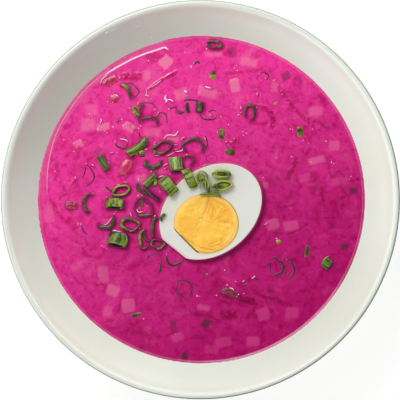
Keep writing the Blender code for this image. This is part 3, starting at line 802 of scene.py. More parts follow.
# Painted highlights: white folds round the pieces, where the lamp's glints fall.
GLEAMS = (
    Stroke(Sunk.PAINTED_HIGHLIGHT, ((-18.9, 30.8), (-17.6, 32.6), (-15.8, 33.0), (-13.2, 32.8), (-12.2, 34.0),
                        (-11.4, 35.2)), 0.40, 0.95, 0.45),
    Stroke(Sunk.PAINTED_HIGHLIGHT, ((-10.2, 30.2), (-9.4, 31.4), (-8.0, 32.0)), 0.36, 0.50, 0.20),
    Stroke(Sunk.PAINTED_HIGHLIGHT, ((-9.6, 28.0), (-9.2, 25.8), (-10.2, 24.8), (-13.0, 24.6)), 0.43, 0.75, 0.20),
    Stroke(Sunk.PAINTED_HIGHLIGHT, ((-14.0, 28.0), (-12.0, 28.0)), 0.36, 0.80, 0.20),
    Stroke(Sunk.PAINTED_HIGHLIGHT, ((-13.4, 25.6), (-11.9, 26.0)), 0.36, 0.80, 0.20),
    Stroke(Sunk.PAINTED_HIGHLIGHT, ((-17.6, 53.4), (-18.2, 51.8), (-17.4, 50.6), (-18.0, 49.6)), 0.79, 0.95, 0.40),
    Stroke(Sunk.PAINTED_HIGHLIGHT, ((-17.5, 51.0), (-15.5, 51.0), (-14.0, 50.0)), 0.50, 0.90, 0.30),
    Stroke(Sunk.PAINTED_HIGHLIGHT, ((-8.0, 56.0), (-7.8, 55.2), (-7.0, 54.9)), 0.72, 0.95, 0.30),
    Stroke(Sunk.PAINTED_HIGHLIGHT, ((2.2, 57.8), (3.6, 57.3), (5.2, 56.9)), 0.58, 0.95, 0.30),
    Stroke(Sunk.PAINTED_HIGHLIGHT, ((28.9, 54.6), (28.7, 53.2)), 0.50, 0.90, 0.30),
    Stroke(Sunk.PAINTED_HIGHLIGHT, ((20.3, 47.6), (20.6, 46.2)), 0.50, 0.80, 0.20),
    Stroke(Sunk.PAINTED_HIGHLIGHT, ((-41.4, 31.0), (-38.6, 30.6), (-37.4, 29.6)), 0.43, 0.95, 0.30),
    Stroke(Sunk.PAINTED_HIGHLIGHT, ((-36.6, 38.8), (-35.0, 37.4), (-34.4, 36.0)), 0.36, 0.70, 0.20),
    Stroke(Sunk.PAINTED_HIGHLIGHT, ((-51.2, 59.4), (-50.8, 61.0), (-49.4, 62.6), (-47.8, 63.6)), 0.36, 0.85, 0.20),
    Stroke(Sunk.PAINTED_HIGHLIGHT, ((-45.0, 53.4), (-43.2, 53.4), (-42.0, 52.2)), 0.50, 0.90, 0.20),
    Stroke(Sunk.PAINTED_HIGHLIGHT, ((-28.0, 56.6), (-27.6, 54.4), (-28.4, 53.2)), 0.36, 0.70, 0.20),
    Stroke(Sunk.PAINTED_HIGHLIGHT, ((-28.2, 53.4), (-26.4, 52.8)), 0.58, 0.90, 0.30),
    Stroke(Sunk.PAINTED_HIGHLIGHT, ((-32.6, 48.4), (-31.6, 49.8)), 0.36, 0.80, 0.20),
    Stroke(Sunk.PAINTED_HIGHLIGHT, ((-24.4, 45.6), (-22.4, 46.6)), 0.36, 0.70, 0.20),
    Stroke(Sunk.PAINTED_HIGHLIGHT, ((-22.4, 43.2), (-21.4, 44.8)), 0.36, 0.80, 0.20),
    Stroke(Sunk.PAINTED_HIGHLIGHT, ((-25.8, 57.0), (-22.0, 59.6), (-19.8, 61.4)), 0.36, 0.55, 0.20),
    Stroke(Sunk.PAINTED_HIGHLIGHT, ((-18.0, 62.8), (-16.8, 63.8), (-14.8, 64.8)), 0.43, 0.70, 0.20),
    Stroke(Sunk.PAINTED_HIGHLIGHT, ((2.0, 31.8), (2.4, 30.6)), 0.43, 0.95, 0.30),
    Stroke(Sunk.PAINTED_HIGHLIGHT, ((8.4, 34.8), (8.8, 34.0)), 0.43, 0.80, 0.20),
    Stroke(Sunk.PAINTED_HIGHLIGHT, ((12.6, 29.2), (13.4, 29.8)), 0.43, 0.80, 0.20),
    Stroke(Sunk.PAINTED_HIGHLIGHT, ((17.0, 31.6), (17.2, 30.6)), 0.36, 0.70, 0.20),
    Stroke(Sunk.PAINTED_HIGHLIGHT, ((13.0, 25.8), (14.0, 25.4)), 0.50, 0.80, 0.20),
    Stroke(Sunk.PAINTED_HIGHLIGHT, ((26.0, -40.2), (27.8, -39.0)), 0.50, 0.95, 0.30),
    Stroke(Sunk.PAINTED_HIGHLIGHT, ((21.4, -42.0), (22.2, -41.2)), 0.58, 0.80, 0.30),
    Stroke(Sunk.PAINTED_HIGHLIGHT, ((11.0, -46.2), (12.6, -45.6)), 0.50, 0.90, 0.20),
    Stroke(Sunk.PAINTED_HIGHLIGHT, ((13.4, -45.6), (15.0, -45.2), (16.4, -45.6), (17.0, -47.2)), 0.43, 0.90, 0.20),
    Stroke(Sunk.PAINTED_HIGHLIGHT, ((32.4, -12.8), (34.2, -12.0)), 0.43, 0.65, 0.20),
    Stroke(Sunk.PAINTED_HIGHLIGHT, ((-51.4, 41.6), (-50.8, 40.4), (-51.6, 39.2)), 0.50, 0.70, 0.20),
    Stroke(Sunk.PAINTED_HIGHLIGHT, ((-46.6, 23.8), (-44.8, 24.2)), 0.43, 0.70, 0.20),
    Stroke(Sunk.PAINTED_HIGHLIGHT, ((-47.2, 19.6), (-46.8, 18.2)), 0.36, 0.70, 0.20),
    Stroke(Sunk.PAINTED_HIGHLIGHT, ((-55.8, 18.0), (-54.8, 17.4)), 0.50, 0.90, 0.30),
    Stroke(Sunk.PAINTED_HIGHLIGHT, ((-59.0, 18.4), (-58.4, 18.3)), 0.58, 0.80, 0.30),
    Stroke(Sunk.PAINTED_HIGHLIGHT, ((-39.6, 9.2), (-37.6, 8.6)), 0.43, 0.65, 0.20),
    Stroke(Sunk.PAINTED_HIGHLIGHT, ((-43.2, 7.3), (-41.4, 7.7)), 0.43, 0.75, 0.20),
    Stroke(Sunk.PAINTED_HIGHLIGHT, ((-33.0, -5.0), (-31.6, -6.4), (-29.6, -6.0)), 0.50, 0.80, 0.20),
    Stroke(Sunk.PAINTED_HIGHLIGHT, ((-36.2, -6.6), (-35.4, -8.6)), 0.58, 0.75, 0.20),
    Stroke(Sunk.PAINTED_HIGHLIGHT, ((-45.8, -16.4), (-44.4, -15.8), (-42.6, -16.2), (-40.4, -16.4)), 0.50, 0.95, 0.25),
    Stroke(Sunk.PAINTED_HIGHLIGHT, ((-50.0, -13.4), (-47.4, -11.8), (-45.0, -8.6)), 0.43, 0.40, 0.00),
    Stroke(Sunk.PAINTED_HIGHLIGHT, ((-19.0, 17.2), (-18.0, 18.0), (-16.8, 18.3)), 0.36, 0.85, 0.20),
    Stroke(Sunk.PAINTED_HIGHLIGHT, ((-18.8, 15.8), (-17.8, 16.2)), 0.50, 0.70, 0.20),
    Stroke(Sunk.PAINTED_HIGHLIGHT, ((-23.4, 22.6), (-21.2, 22.4)), 0.43, 0.70, 0.20),
    Stroke(Sunk.PAINTED_HIGHLIGHT, ((-17.4, 22.4), (-15.8, 22.9), (-13.6, 24.2)), 0.36, 0.60, 0.20),
    Stroke(Sunk.PAINTED_HIGHLIGHT, ((-28.6, 25.6), (-27.2, 25.8)), 0.58, 0.85, 0.20),
    Stroke(Sunk.PAINTED_HIGHLIGHT, ((-33.4, 22.8), (-32.2, 23.6)), 0.58, 0.60, 0.20),
    Stroke(Sunk.PAINTED_HIGHLIGHT, ((-21.6, 11.2), (-20.2, 12.0), (-18.4, 12.0)), 0.50, 0.75, 0.20),
    Stroke(Sunk.PAINTED_HIGHLIGHT, ((-30.4, 8.6), (-29.0, 6.8)), 0.36, 0.45, 0.00),
    Stroke(Sunk.PAINTED_HIGHLIGHT, ((1.0, 17.0), (2.6, 18.0)), 0.43, 0.60, 0.10),
)


@dataclass(frozen=True)
class Fleck:
    """A wet bead or fleck painted white as a glint: place and size in millimetres."""

    x: float
    y: float
    size: float = 0.9
    painted_glint: float = 0.6


# Wet beads placed at the lamp's glints, each painted white as a highlight by its own amount.
FLECKS = (
    Fleck(-26.8, 70.9, 1.1, 0.7), Fleck(-22.9, 71.4, 0.8, 0.3), Fleck(-4.9, 68.0, 1.5, 0.9),
    Fleck(-3.3, 69.4, 1.0, 0.9), Fleck(-8.0, 75.2, 1.4, 0.1), Fleck(3.1, 77.0, 1.1, 0.7),
    Fleck(3.0, 79.0, 0.8, 0.4), Fleck(17.1, 67.0, 1.0, 0.6), Fleck(18.7, 65.8, 1.0, 0.7),
    Fleck(18.2, 68.4, 1.0, 0.2), Fleck(30.0, 64.2, 0.8, 0.6), Fleck(33.0, 61.8, 0.8, 0.7),
    Fleck(37.2, 60.7, 1.0, 0.6), Fleck(38.0, 61.3, 0.8, 0.4), Fleck(41.0, 55.6, 1.0, 0.3),
    Fleck(41.6, 53.7, 1.0, 0.4), Fleck(44.6, 49.4, 0.8, 0.3), Fleck(30.4, 53.6, 0.7, 0.5),
    Fleck(19.4, 43.4, 0.9, 0.6), Fleck(28.6, 46.8, 0.8, 0.3), Fleck(10.4, 42.4, 1.0, 0.3),
    Fleck(4.6, 43.4, 0.8, 0.5), Fleck(14.2, 38.2, 1.0, 0.7), Fleck(21.7, 34.7, 1.0, 0.4),
    Fleck(23.4, 33.9, 0.9, 0.4), Fleck(21.6, 32.8, 0.9, 0.4), Fleck(15.5, 29.6, 0.9, 0.6),
    Fleck(14.1, 28.0, 0.8, 0.3), Fleck(45.7, 36.0, 1.0, 0.6), Fleck(46.8, 35.8, 0.8, 0.6),
    Fleck(57.0, 35.8, 1.0, 0.5), Fleck(63.9, 29.7, 1.2, 0.3), Fleck(52.1, 30.2, 0.9, 0.2),
    Fleck(55.0, 28.7, 0.7, 0.4), Fleck(46.3, 21.9, 1.0, 0.8), Fleck(56.4, 19.2, 1.0, 0.2),
    Fleck(66.6, 19.0, 1.1, 0.3), Fleck(67.7, 18.4, 0.9, 0.2), Fleck(76.5, 11.8, 1.0, 0.5),
    Fleck(75.6, 10.4, 0.8, 0.3), Fleck(31.9, 11.3, 0.9, 0.6), Fleck(38.6, 21.3, 0.9, 0.1),
    Fleck(38.7, -19.8, 1.0, 0.8), Fleck(43.8, -30.6, 0.8, 0.5), Fleck(12.2, -36.0, 1.0, 0.5),
    Fleck(17.8, -41.7, 0.9, 0.4), Fleck(13.4, -43.5, 1.1, 0.8), Fleck(8.1, -48.9, 1.0, 0.4),
    Fleck(19.2, -48.4, 1.0, 0.7), Fleck(18.4, -49.5, 0.9, 0.5), Fleck(22.0, -47.8, 1.0, 0.2),
    Fleck(14.9, -47.0, 0.9, 0.5), Fleck(-1.8, -49.2, 1.4, 0.5), Fleck(-0.5, -49.3, 0.8, 0.2),
    Fleck(-29.2, -60.9, 0.9, 0.5), Fleck(-12.9, -68.8, 0.7, 0.2), Fleck(-50.6, -23.6, 1.0, 0.5),
    Fleck(-49.6, -24.3, 0.7, 0.2), Fleck(-48.0, -25.2, 0.7, 0.2), Fleck(-61.4, -12.6, 1.0, 0.6),
    Fleck(-62.8, -12.4, 1.0, 0.3), Fleck(-68.5, -1.2, 1.2, 0.6), Fleck(-64.9, -1.9, 1.0, 0.8),
    Fleck(-43.5, -6.1, 0.8, 0.4), Fleck(-44.3, -7.1, 1.0, 0.7), Fleck(-55.2, 3.3, 1.0, 0.4),
    Fleck(-56.3, 2.6, 0.9, 0.5), Fleck(-48.2, 1.3, 1.0, 0.5), Fleck(-64.2, 11.3, 1.1, 0.6),
    Fleck(-74.6, 14.5, 1.0, 0.6), Fleck(-64.9, 24.6, 1.0, 0.4), Fleck(-70.1, 30.7, 1.1, 0.7),
    Fleck(-74.4, 32.6, 1.3, 0.2), Fleck(-61.7, 29.7, 1.2, 0.6), Fleck(-59.2, 29.6, 0.8, 0.3),
    Fleck(-52.7, 35.9, 1.2, 0.6), Fleck(-49.2, 35.0, 1.0, 0.5), Fleck(-48.0, 34.3, 0.9, 0.3),
    Fleck(-44.9, 37.1, 1.2, 0.9), Fleck(-43.8, 29.8, 1.0, 0.5), Fleck(-57.0, 43.9, 1.1, 0.8),
    Fleck(-56.0, 42.8, 1.2, 0.2), Fleck(-47.6, 50.1, 0.9, 0.5), Fleck(-45.1, 49.6, 0.9, 0.5),
    Fleck(-45.5, 52.1, 0.9, 0.5), Fleck(-47.2, 53.2, 0.8, 0.4), Fleck(-46.9, 59.5, 1.0, 0.6),
    Fleck(-48.0, 58.4, 0.9, 0.3), Fleck(-41.5, 62.3, 1.0, 0.4), Fleck(-39.4, 62.8, 0.9, 0.4),
    Fleck(-36.6, 62.8, 0.9, 0.3), Fleck(-36.0, 64.4, 0.9, 0.2), Fleck(-39.7, 37.9, 1.2, 0.8),
    Fleck(-30.8, 37.6, 0.9, 0.6), Fleck(-31.8, 36.4, 1.0, 0.8), Fleck(-40.4, 41.0, 1.0, 0.7),
    Fleck(-16.2, 46.2, 1.2, 0.7), Fleck(-36.4, 46.8, 0.9, 0.5), Fleck(-23.4, 29.2, 1.0, 0.7),
    Fleck(-23.6, 28.1, 0.9, 0.5), Fleck(-24.0, 23.5, 0.7, 0.5), Fleck(-25.4, 14.4, 1.2, 0.6),
    Fleck(-7.2, 23.0, 1.0, 0.6), Fleck(-40.2, 16.6, 1.0, 0.2), Fleck(-38.6, 18.0, 1.2, 0.2),
    Fleck(-37.2, 19.4, 1.0, 0.2), Fleck(-39.4, 14.9, 0.8, 0.2), Fleck(-30.4, 16.4, 0.8, 0.2),
    Fleck(-42.8, 24.0, 0.9, 0.3), Fleck(-37.6, 24.8, 1.0, 0.4), Fleck(-31.8, 10.0, 1.4, 0.4),
    Fleck(-32.0, 2.1, 1.1, 0.6), Fleck(-30.2, 2.2, 0.9, 0.4), Fleck(-27.2, -3.4, 0.9, 0.3),
    Fleck(-31.4, -4.4, 0.8, 0.4), Fleck(-32.4, -5.4, 1.0, 0.3), Fleck(-28.8, -5.4, 0.7, 0.5),
    Fleck(-23.4, -8.3, 1.2, 0.8), Fleck(-40.8, -16.5, 1.0, 0.8), Fleck(-31.4, -14.6, 0.9, 0.4),
    Fleck(-18.4, -22.1, 1.0, 0.8), Fleck(-25.5, -21.8, 0.8, 0.7), Fleck(-24.7, -21.9, 0.7, 0.7),
    Fleck(-17.4, -28.1, 0.8, 0.5), Fleck(-20.9, 4.2, 0.9, 0.4), Fleck(-8.8, -84.0, 0.9, 0.4),
    Fleck(-15.6, 13.0, 1.0, 0.3), Fleck(-22.8, 33.2, 1.0, 0.2), Fleck(-1.9, 34.2, 1.0, 0.1),
)


@dataclass
class Soup:
    """The soup: a fine top skin with relief and sunk pieces, closed below."""

    radius_mm: float = 84.6
    cell_mm: float = 0.56
    roll_start_mm: float = 79.6
    roll_slope: float = 0.07
    # Painted shadow: how far it is shifted away from the lamp, and how dark it is.
    shadow_shift_mm: tuple = (0.9, -0.9)
    shadow_strength: float = 0.85
    patches: tuple = CUCUMBERS + SUNK_BEETS + SMALL_BEETS + SUNK_LEAVES
    strokes: tuple = SHREDS
    below_mm: tuple = ((83.6, 39.6), (76.0, 33.2), (64.0, 25.0), (48.0, 16.6), (24.0, 9.0))

    def skin(self) -> bmesh.types.BMesh:
        """Return the closed body: a trimmed grid with its edge drawn down."""
        shape = bmesh.new()
        count = int(2.0 * self.radius_mm / self.cell_mm)
        bmesh.ops.create_grid(shape, x_segments=count, y_segments=count, size=self.radius_mm * MM)
        outside = [f for f in shape.faces if f.calc_center_median().length > (self.radius_mm - 0.4) * MM]
        bmesh.ops.delete(shape, geom=outside, context="FACES")
        rim = [e for e in shape.edges if e.is_boundary]
        for corner in {v for e in rim for v in e.verts}:
            corner.co *= self.radius_mm * MM / corner.co.length
        bmesh.ops.translate(shape, vec=(0, 0, LEVEL), verts=shape.verts)
        last_radius, last_height = self.radius_mm, LEVEL / MM
        for radius, height in self.below_mm:
            grown = bmesh.ops.extrude_edge_only(shape, edges=rim)["geom"]
            ring = [g for g in grown if isinstance(g, bmesh.types.BMVert)]
            rim = [g for g in grown if isinstance(g, bmesh.types.BMEdge) and g.is_boundary]
            scale = radius / last_radius
            bmesh.ops.scale(shape, vec=(scale, scale, 1.0), verts=ring)
            bmesh.ops.translate(shape, vec=(0, 0, (height - last_height) * MM), verts=ring)
            last_radius, last_height = radius, height
        bmesh.ops.edgeloop_fill(shape, edges=rim)
        return shape

    def leaning(self, heading: np.ndarray) -> np.ndarray:
        """Return 1 where the soup's edge bulges before it meets the wall."""
        return ease(heading, 99.0, 106.0) * ease(-heading, -205.0, -150.0)

    def relief(self, spots: np.ndarray, lift: np.ndarray, egg: "Egg") -> np.ndarray:
        """Return how far each point of the skin stands over the level, in millimetres."""
        reach = np.hypot(spots[:, 0], spots[:, 1])
        heading = np.degrees(np.arctan2(spots[:, 1], spots[:, 0])) % 360.0
        leaning = self.leaning(heading)
        waves = rolled(spots, 9.0, 2, 3.1) * 0.10 + rolled(spots, 3.2, 2, 7.7) * 0.06
        start = self.roll_start_mm - 0.9 * ease(heading, 165.0, 185.0) + rolled(spots, 14.0, 2, 1.3) * 0.25
        over = np.maximum(reach - start, 0.0)
        roll = self.roll_slope * over * over / (over + 0.45)
        climb = 0.8 * np.exp(-np.maximum(83.4 - reach, 0.0) / 0.55)
        height = waves * ease(-reach, -82.5, -78.0) - leaning * roll + climb
        height += lift
        height += egg.lap(spots)
        return height

    def painted_shadow(self, spots: np.ndarray, wobble: np.ndarray) -> np.ndarray:
        """Return the painted shadow on the soup under and beside the spring onion, and beside each glint."""
        shade = np.zeros(len(spots))
        dx, dy = self.shadow_shift_mm
        for cut in TUBES:
            low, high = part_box(cut.node)
            middle = (low + high) * 0.5 / MM
            patch = Patch(Sunk.LEAF, middle.x + dx, middle.y + dy, cut.length + 1.6, cut.width + 1.6,
                          cut.heading, 1.0, 2.2)
            shade = np.maximum(shade, patch.cover(spots, wobble) * self.shadow_strength)
        for ribbon in RIBBONS:
            strip = ribbon.strip()
            if strip.foot < 0.0 and strip.top > 0.3:
                path = tuple((x + dx * 0.7, y + dy * 0.7) for x, y, _ in strip.path)
                stroke = Stroke(Sunk.LEAF, path, 1.8, 1.0, 0.0, 1.3)
                shade = np.maximum(shade, stroke.cover(spots, wobble) * self.shadow_strength)
        # Painted shade: a dark line beside each glint, for the shadow side of its ripple.
        for gleam in GLEAMS:
            path = tuple((x + 0.35, y - 0.6) for x, y in gleam.path)
            stroke = Stroke(Sunk.LEAF, path, 0.5, 1.0, 0.0, 0.7)
            shade = np.maximum(shade, stroke.cover(spots, wobble) * 0.6)
        return shade

    def build(self, finish: bpy.types.Material, egg: "Egg") -> bpy.types.Object:
        """Return the soup.

        Args:
            finish: its material.
            egg: the egg it laps against.

        Returns:
            The piece.
        """
        piece = finish_piece("soup", self.skin(), finish, ["soup"])
        points = points_of(piece.data)
        top = points[:, 2] > LEVEL - 0.01 * MM
        points[top, :2] = egg.follow(points[top, :2] / MM, 0.6 * self.cell_mm) * MM
        spots = points[:, :2] / MM
        wobble = rolled(spots, 2.6, 3, 5.0)
        covers = {kind.value: np.zeros(len(spots)) for kind in Sunk}
        lift = np.zeros(len(spots))
        for item in self.patches + self.strokes:
            cover = item.cover(spots, wobble)
            kind = item.kind.value
            covers[kind] = np.maximum(covers[kind], cover * item.strength)
            lift = np.maximum(lift, cover * item.lift)
        # Painted shadow beside the egg, the spring onion and the glints.
        covers["painted_shadow"] = np.maximum(egg.shade(spots), self.painted_shadow(spots, wobble))
        # Painted light: a paler pink ring at the egg's waterline, for the light the white throws on the soup.
        covers["pale"] = np.maximum(covers["pale"], 0.6 * ease(-np.abs(egg.inside(spots) + 0.3), -0.7, -0.2))
        reach = np.hypot(spots[:, 0], spots[:, 1])
        heading = np.degrees(np.arctan2(spots[:, 1], spots[:, 0])) % 360.0
        # Painted light: a paler band where the soup's edge rolls down towards the lamp on the upper left.
        covers["pale"] = np.maximum(covers["pale"], 0.28 * ease(reach, 79.2, 80.2) * self.leaning(heading))
        points[top, 2] += (self.relief(spots, lift, egg) * MM)[top]
        piece.data.vertices.foreach_set("co", points.ravel())
        for name, values in covers.items():
            store(piece.data, name, np.clip(values, 0.0, 1.0))
        piece.data.update()
        return piece


# -------------------------------------------------------------------- the egg


@dataclass
class Egg:
    """Half a boiled egg, cut side up, leaning up to the lower right."""

    middle_mm: tuple = (5.0, -6.0)
    length_mm: float = 57.0
    width_mm: float = 43.6
    depth_mm: float = 21.0
    turn: float = 38.0
    lift_mm: float = 2.4
    slope: float = 0.0966
    rises_towards: float = -45.0
    flat_side: float = 232.0
    flat_distance_mm: float = 25.7
    yolk_mm: tuple = (2.9, -12.3)
    yolk_width_mm: float = 33.2
    yolk_breadth_mm: float = 30.6
    yolk_depth_mm: float = 13.5
    chord_side: float = 224.6
    chord_mm: float = 12.9
    chord_gap_mm: float = 0.45
    crack_mm: tuple = ((1.2, 14.2), (1.6, 11.6), (0.2, 9.2), (0.4, 7.0), (-1.4, 4.8), (-2.2, 3.2))
    gap_mm: tuple = ((-12.8, -6.4), (-10.8, -8.4), (-8.6, -10.6), (-6.4, -12.9), (-4.4, -14.6))
    layer_mm: tuple = ((-11.2, -6.8), (-8.4, -8.8), (-5.4, -10.8), (-2.4, -12.2), (1.4, -13.2), (4.4, -13.4))

    def frame(self) -> Matrix:
        """Return the place of the cut face."""
        c, s = turned(self.rises_towards)
        lean = Matrix.Rotation(math.atan(self.slope), 4, Vector((s, -c, 0.0)))
        middle = Vector((self.middle_mm[0] * MM, self.middle_mm[1] * MM, LEVEL + self.lift_mm * MM))
        return Matrix.Translation(middle) @ lean

    def face_height(self, x: Any, y: Any) -> Any:
        """Return the cut face's height over the soup's level, in millimetres."""
        c, s = turned(self.rises_towards)
        return self.lift_mm + self.slope * ((x - self.middle_mm[0]) * c + (y - self.middle_mm[1]) * s)

    def inside(self, spots: np.ndarray) -> np.ndarray:
        """Return about how far inside the white's outline each point is, in millimetres."""
        c, s = turned(self.turn)
        dx, dy = spots[:, 0] - self.middle_mm[0], spots[:, 1] - self.middle_mm[1]
        u, v = (dx * c + dy * s) / (self.length_mm / 2), (dy * c - dx * s) / (self.width_mm / 2)
        rho = np.maximum(np.hypot(u, v), 1e-6)
        oval = (1.0 - rho) * np.hypot(dx, dy) / rho
        fc, fs = turned(self.flat_side)
        return np.minimum(oval, self.flat_distance_mm - (dx * fc + dy * fs))

    def side(self, spots: np.ndarray) -> np.ndarray:
        """Return 1 on the raised side of the egg and -1 on the low side."""
        c, s = turned(self.rises_towards)
        dx, dy = spots[:, 0] - self.middle_mm[0], spots[:, 1] - self.middle_mm[1]
        return (dx * c + dy * s) / np.maximum(np.hypot(dx, dy), 1e-6)

    def waterline(self, spots: np.ndarray) -> np.ndarray:
        """Return how far inside the white's side, at the soup's level, each point is."""
        stands = np.maximum(self.face_height(spots[:, 0], spots[:, 1]), 0.0)
        return self.inside(spots) - 0.024 * stands * stands

    def follow(self, spots: np.ndarray, reach: float) -> np.ndarray:
        """Return points with those nearest the egg's side moved onto it."""
        step = 0.05
        here = self.waterline(spots)
        slope = np.column_stack([
            (self.waterline(spots + shift) - self.waterline(spots - shift)) / (2.0 * step)
            for shift in (np.array((step, 0.0)), np.array((0.0, step)))
        ])
        move = slope * (here / np.maximum((slope * slope).sum(axis=1), 0.2))[:, None]
        return spots - move * (np.abs(here) < reach)[:, None]

    def lap(self, spots: np.ndarray) -> np.ndarray:
        """Return how far the soup rises at the egg or hides under it, in millimetres."""
        here = self.waterline(spots)
        climb = 0.12 * np.exp(-np.abs(here) / 0.5)
        return np.where(here > 0.06, -4.0, climb)

    def shade(self, spots: np.ndarray) -> np.ndarray:
        """Return the painted shadow that the egg casts on the soup, widest on its raised side."""
        inside = self.inside(spots)
        wide = 0.8 + 3.6 * ease(self.side(spots), -0.1, 0.7)
        return 0.9 * ease(inside, -wide, -0.3 * wide) * ease(-inside, 0.1, 1.0)

    def half_ball(self, length: float, width: float, depth: float,
                  steps: int, rings: int) -> bmesh.types.BMesh:
        """Return the lower half of a ball of the given sizes, with a flat lid."""
        shape = bmesh.new()
        bmesh.ops.create_uvsphere(shape, u_segments=steps, v_segments=rings, radius=1.0)
        bmesh.ops.scale(shape, vec=(length * 0.5 * MM, width * 0.5 * MM, depth * MM), verts=shape.verts)
        self.slice(shape, Vector((0, 0, 0)), Vector((0, 0, 1)))
        return shape

    def slice(self, shape: bmesh.types.BMesh, at: Vector, normal: Vector) -> None:
        """Cut away what is beyond a plane and close the cut."""
        geometry = shape.verts[:] + shape.edges[:] + shape.faces[:]
        made = bmesh.ops.bisect_plane(shape, geom=geometry, plane_co=at, plane_no=normal,
                                      clear_outer=True, dist=1e-7)["geom_cut"]
        rim = [g for g in made if isinstance(g, bmesh.types.BMEdge)]
        bmesh.ops.edgeloop_fill(shape, edges=rim)

    def white_body(self) -> bmesh.types.BMesh:
        """Return the white before its hollow is cut, turned and leaning."""
        shape = self.half_ball(self.length_mm, self.width_mm, self.depth_mm, 120, 60)
        bmesh.ops.rotate(shape, matrix=Matrix.Rotation(math.radians(self.turn), 3, "Z"), verts=shape.verts)
        c, s = turned(self.flat_side)
        normal = Vector((c, s, -0.25)).normalized()
        self.slice(shape, normal * self.flat_distance_mm * MM, normal)
        sharp = [e for e in shape.edges if len(e.link_faces) == 2 and e.calc_face_angle() > 0.6]
        bmesh.ops.bevel(shape, geom=sharp, affect="EDGES", offset=0.25 * MM,
                        segments=3, profile=0.5, material=-1)
        bmesh.ops.transform(shape, matrix=self.frame(), verts=shape.verts)
        return shape

    def hollow_tool(self) -> bpy.types.Object:
        """Return the cutter for the yolk's hollow."""
        shape = bmesh.new()
        bmesh.ops.create_uvsphere(shape, u_segments=96, v_segments=48, radius=1.0)
        size = (self.yolk_width_mm * 0.5 + 0.06, self.yolk_breadth_mm * 0.5 + 0.06, self.yolk_depth_mm + 0.2)
        bmesh.ops.scale(shape, vec=tuple(value * MM for value in size), verts=shape.verts)
        c, s = turned(self.chord_side)
        for corner in shape.verts:
            over = max((corner.co.x * c + corner.co.y * s) / MM - self.chord_mm - self.chord_gap_mm, 0.0)
            corner.co -= Vector((c, s, 0.0)) * (over * over / (over + 0.8) * MM)
        upper = [v for v in shape.verts if v.co.z > 0.0]
        bmesh.ops.scale(shape, vec=(1.0, 1.0, 0.4), verts=upper)
        bmesh.ops.transform(shape, matrix=self.yolk_frame(), verts=shape.verts)
        mesh = bpy.data.meshes.new("yolk_hollow")
        shape.to_mesh(mesh)
        shape.free()
        tool = bpy.data.objects.new("yolk_hollow", mesh)
        bpy.context.scene.collection.objects.link(tool)
        return tool

    def yolk_frame(self) -> Matrix:
        """Return the place of the yolk's middle in the cut face."""
        offset = Vector((self.yolk_mm[0] - self.middle_mm[0], self.yolk_mm[1] - self.middle_mm[1], 0.0)) * MM
        return self.frame() @ Matrix.Translation(offset)

    def build_white(self, finish: bpy.types.Material) -> bpy.types.Object:
        """Return the white with the yolk's hollow cut out of it."""
        piece = finish_piece("egg_white", self.white_body(), finish, ["egg_white"])
        tool = self.hollow_tool()
        cut = piece.modifiers.new("hollow", "BOOLEAN")
        cut.operation = "DIFFERENCE"
        cut.solver = "EXACT"
        cut.object = tool
        graph = bpy.context.evaluated_depsgraph_get()
        made = bpy.data.meshes.new_from_object(piece.evaluated_get(graph))
        piece.modifiers.clear()
        made.name = "egg_white"
        piece.data = made
        bpy.data.objects.remove(tool, do_unlink=True)
        up = self.frame().to_3x3() @ Vector((0.0, 0.0, 1.0))
        for face in made.polygons:
            face.use_smooth = face.normal.dot(up) < 0.999
        return piece

    def build_yolk(self, finish: bpy.types.Material) -> bpy.types.Object:
        """Return the yolk: a ball pressed flat on top into a crumbly face."""
        shape = bmesh.new()
        bmesh.ops.create_uvsphere(shape, u_segments=160, v_segments=110, radius=1.0)
        piece = finish_piece("egg_yolk", shape, finish, ["egg_yolk"])
        unit = points_of(piece.data)
        spots = unit[:, :2] * (self.yolk_width_mm / 2, self.yolk_breadth_mm / 2)
        rho = np.hypot(unit[:, 0], unit[:, 1])
        heading = np.degrees(np.arctan2(unit[:, 1], unit[:, 0])) % 360.0
        up = unit[:, 2] > 0.0
        streak, ridge = self.crumb_lines(rho, heading)
        crumb = (rolled(spots, 1.1, 4, 0.6) * 0.22 + rolled(spots, 4.5, 3, 8.8) * 0.25
                 + streak * 0.35 + ridge * 0.45)
        dome = 0.55 * (1.0 - rho ** 6)
        crack = self.line(spots, self.crack_mm, 0.4, 0.6)
        gap = self.line(spots, self.gap_mm, 0.5, 0.45)
        layer = self.line(spots, self.layer_mm, 0.35, 0.4)
        height = dome + crumb * ease(-rho, -1.0, -0.9) - 0.35 * crack - 0.8 * gap - 0.3 * layer
        points = np.column_stack((spots[:, 0], spots[:, 1],
                                  np.where(up, height, unit[:, 2] * self.yolk_depth_mm)))
        c, s = turned(self.chord_side)
        over = np.maximum(points[:, 0] * c + points[:, 1] * s - self.chord_mm, 0.0)
        points[:, :2] -= np.outer(over * over / (over + 0.8), (c, s))
        place = np.array(self.yolk_frame())
        points = (points * MM) @ place[:3, :3].T + place[:3, 3]
        piece.data.vertices.foreach_set("co", points.ravel())
        olive_side = self.facing(heading, 25.0, 85.0, 30.0)
        bottom = self.facing(heading, 285.0, 50.0, 20.0)
        rim = ease(rho, 0.955, 0.985)
        ring = ease(rho, 0.80, 0.93) * ease(-rho, -0.985, -0.95) * (1.0 - 0.6 * bottom)
        spot = ease(-np.hypot((spots[:, 0] + 1.3) / 0.8, (spots[:, 1] - 0.2) / 2.0), -1.0, -0.1)
        spot_edge = self.line(spots, ((-4.2, 2.0), (-3.2, 3.0), (-1.8, 3.2)), 0.5, 0.6)
        # The paler ring and spot are the yolk's own; raised streaks and ridges are painted paler, as painted
        # light.
        pale = np.maximum(np.maximum(ring * 0.4, spot * 0.7), ease(streak + ridge, 0.2, 0.8) * 0.85)
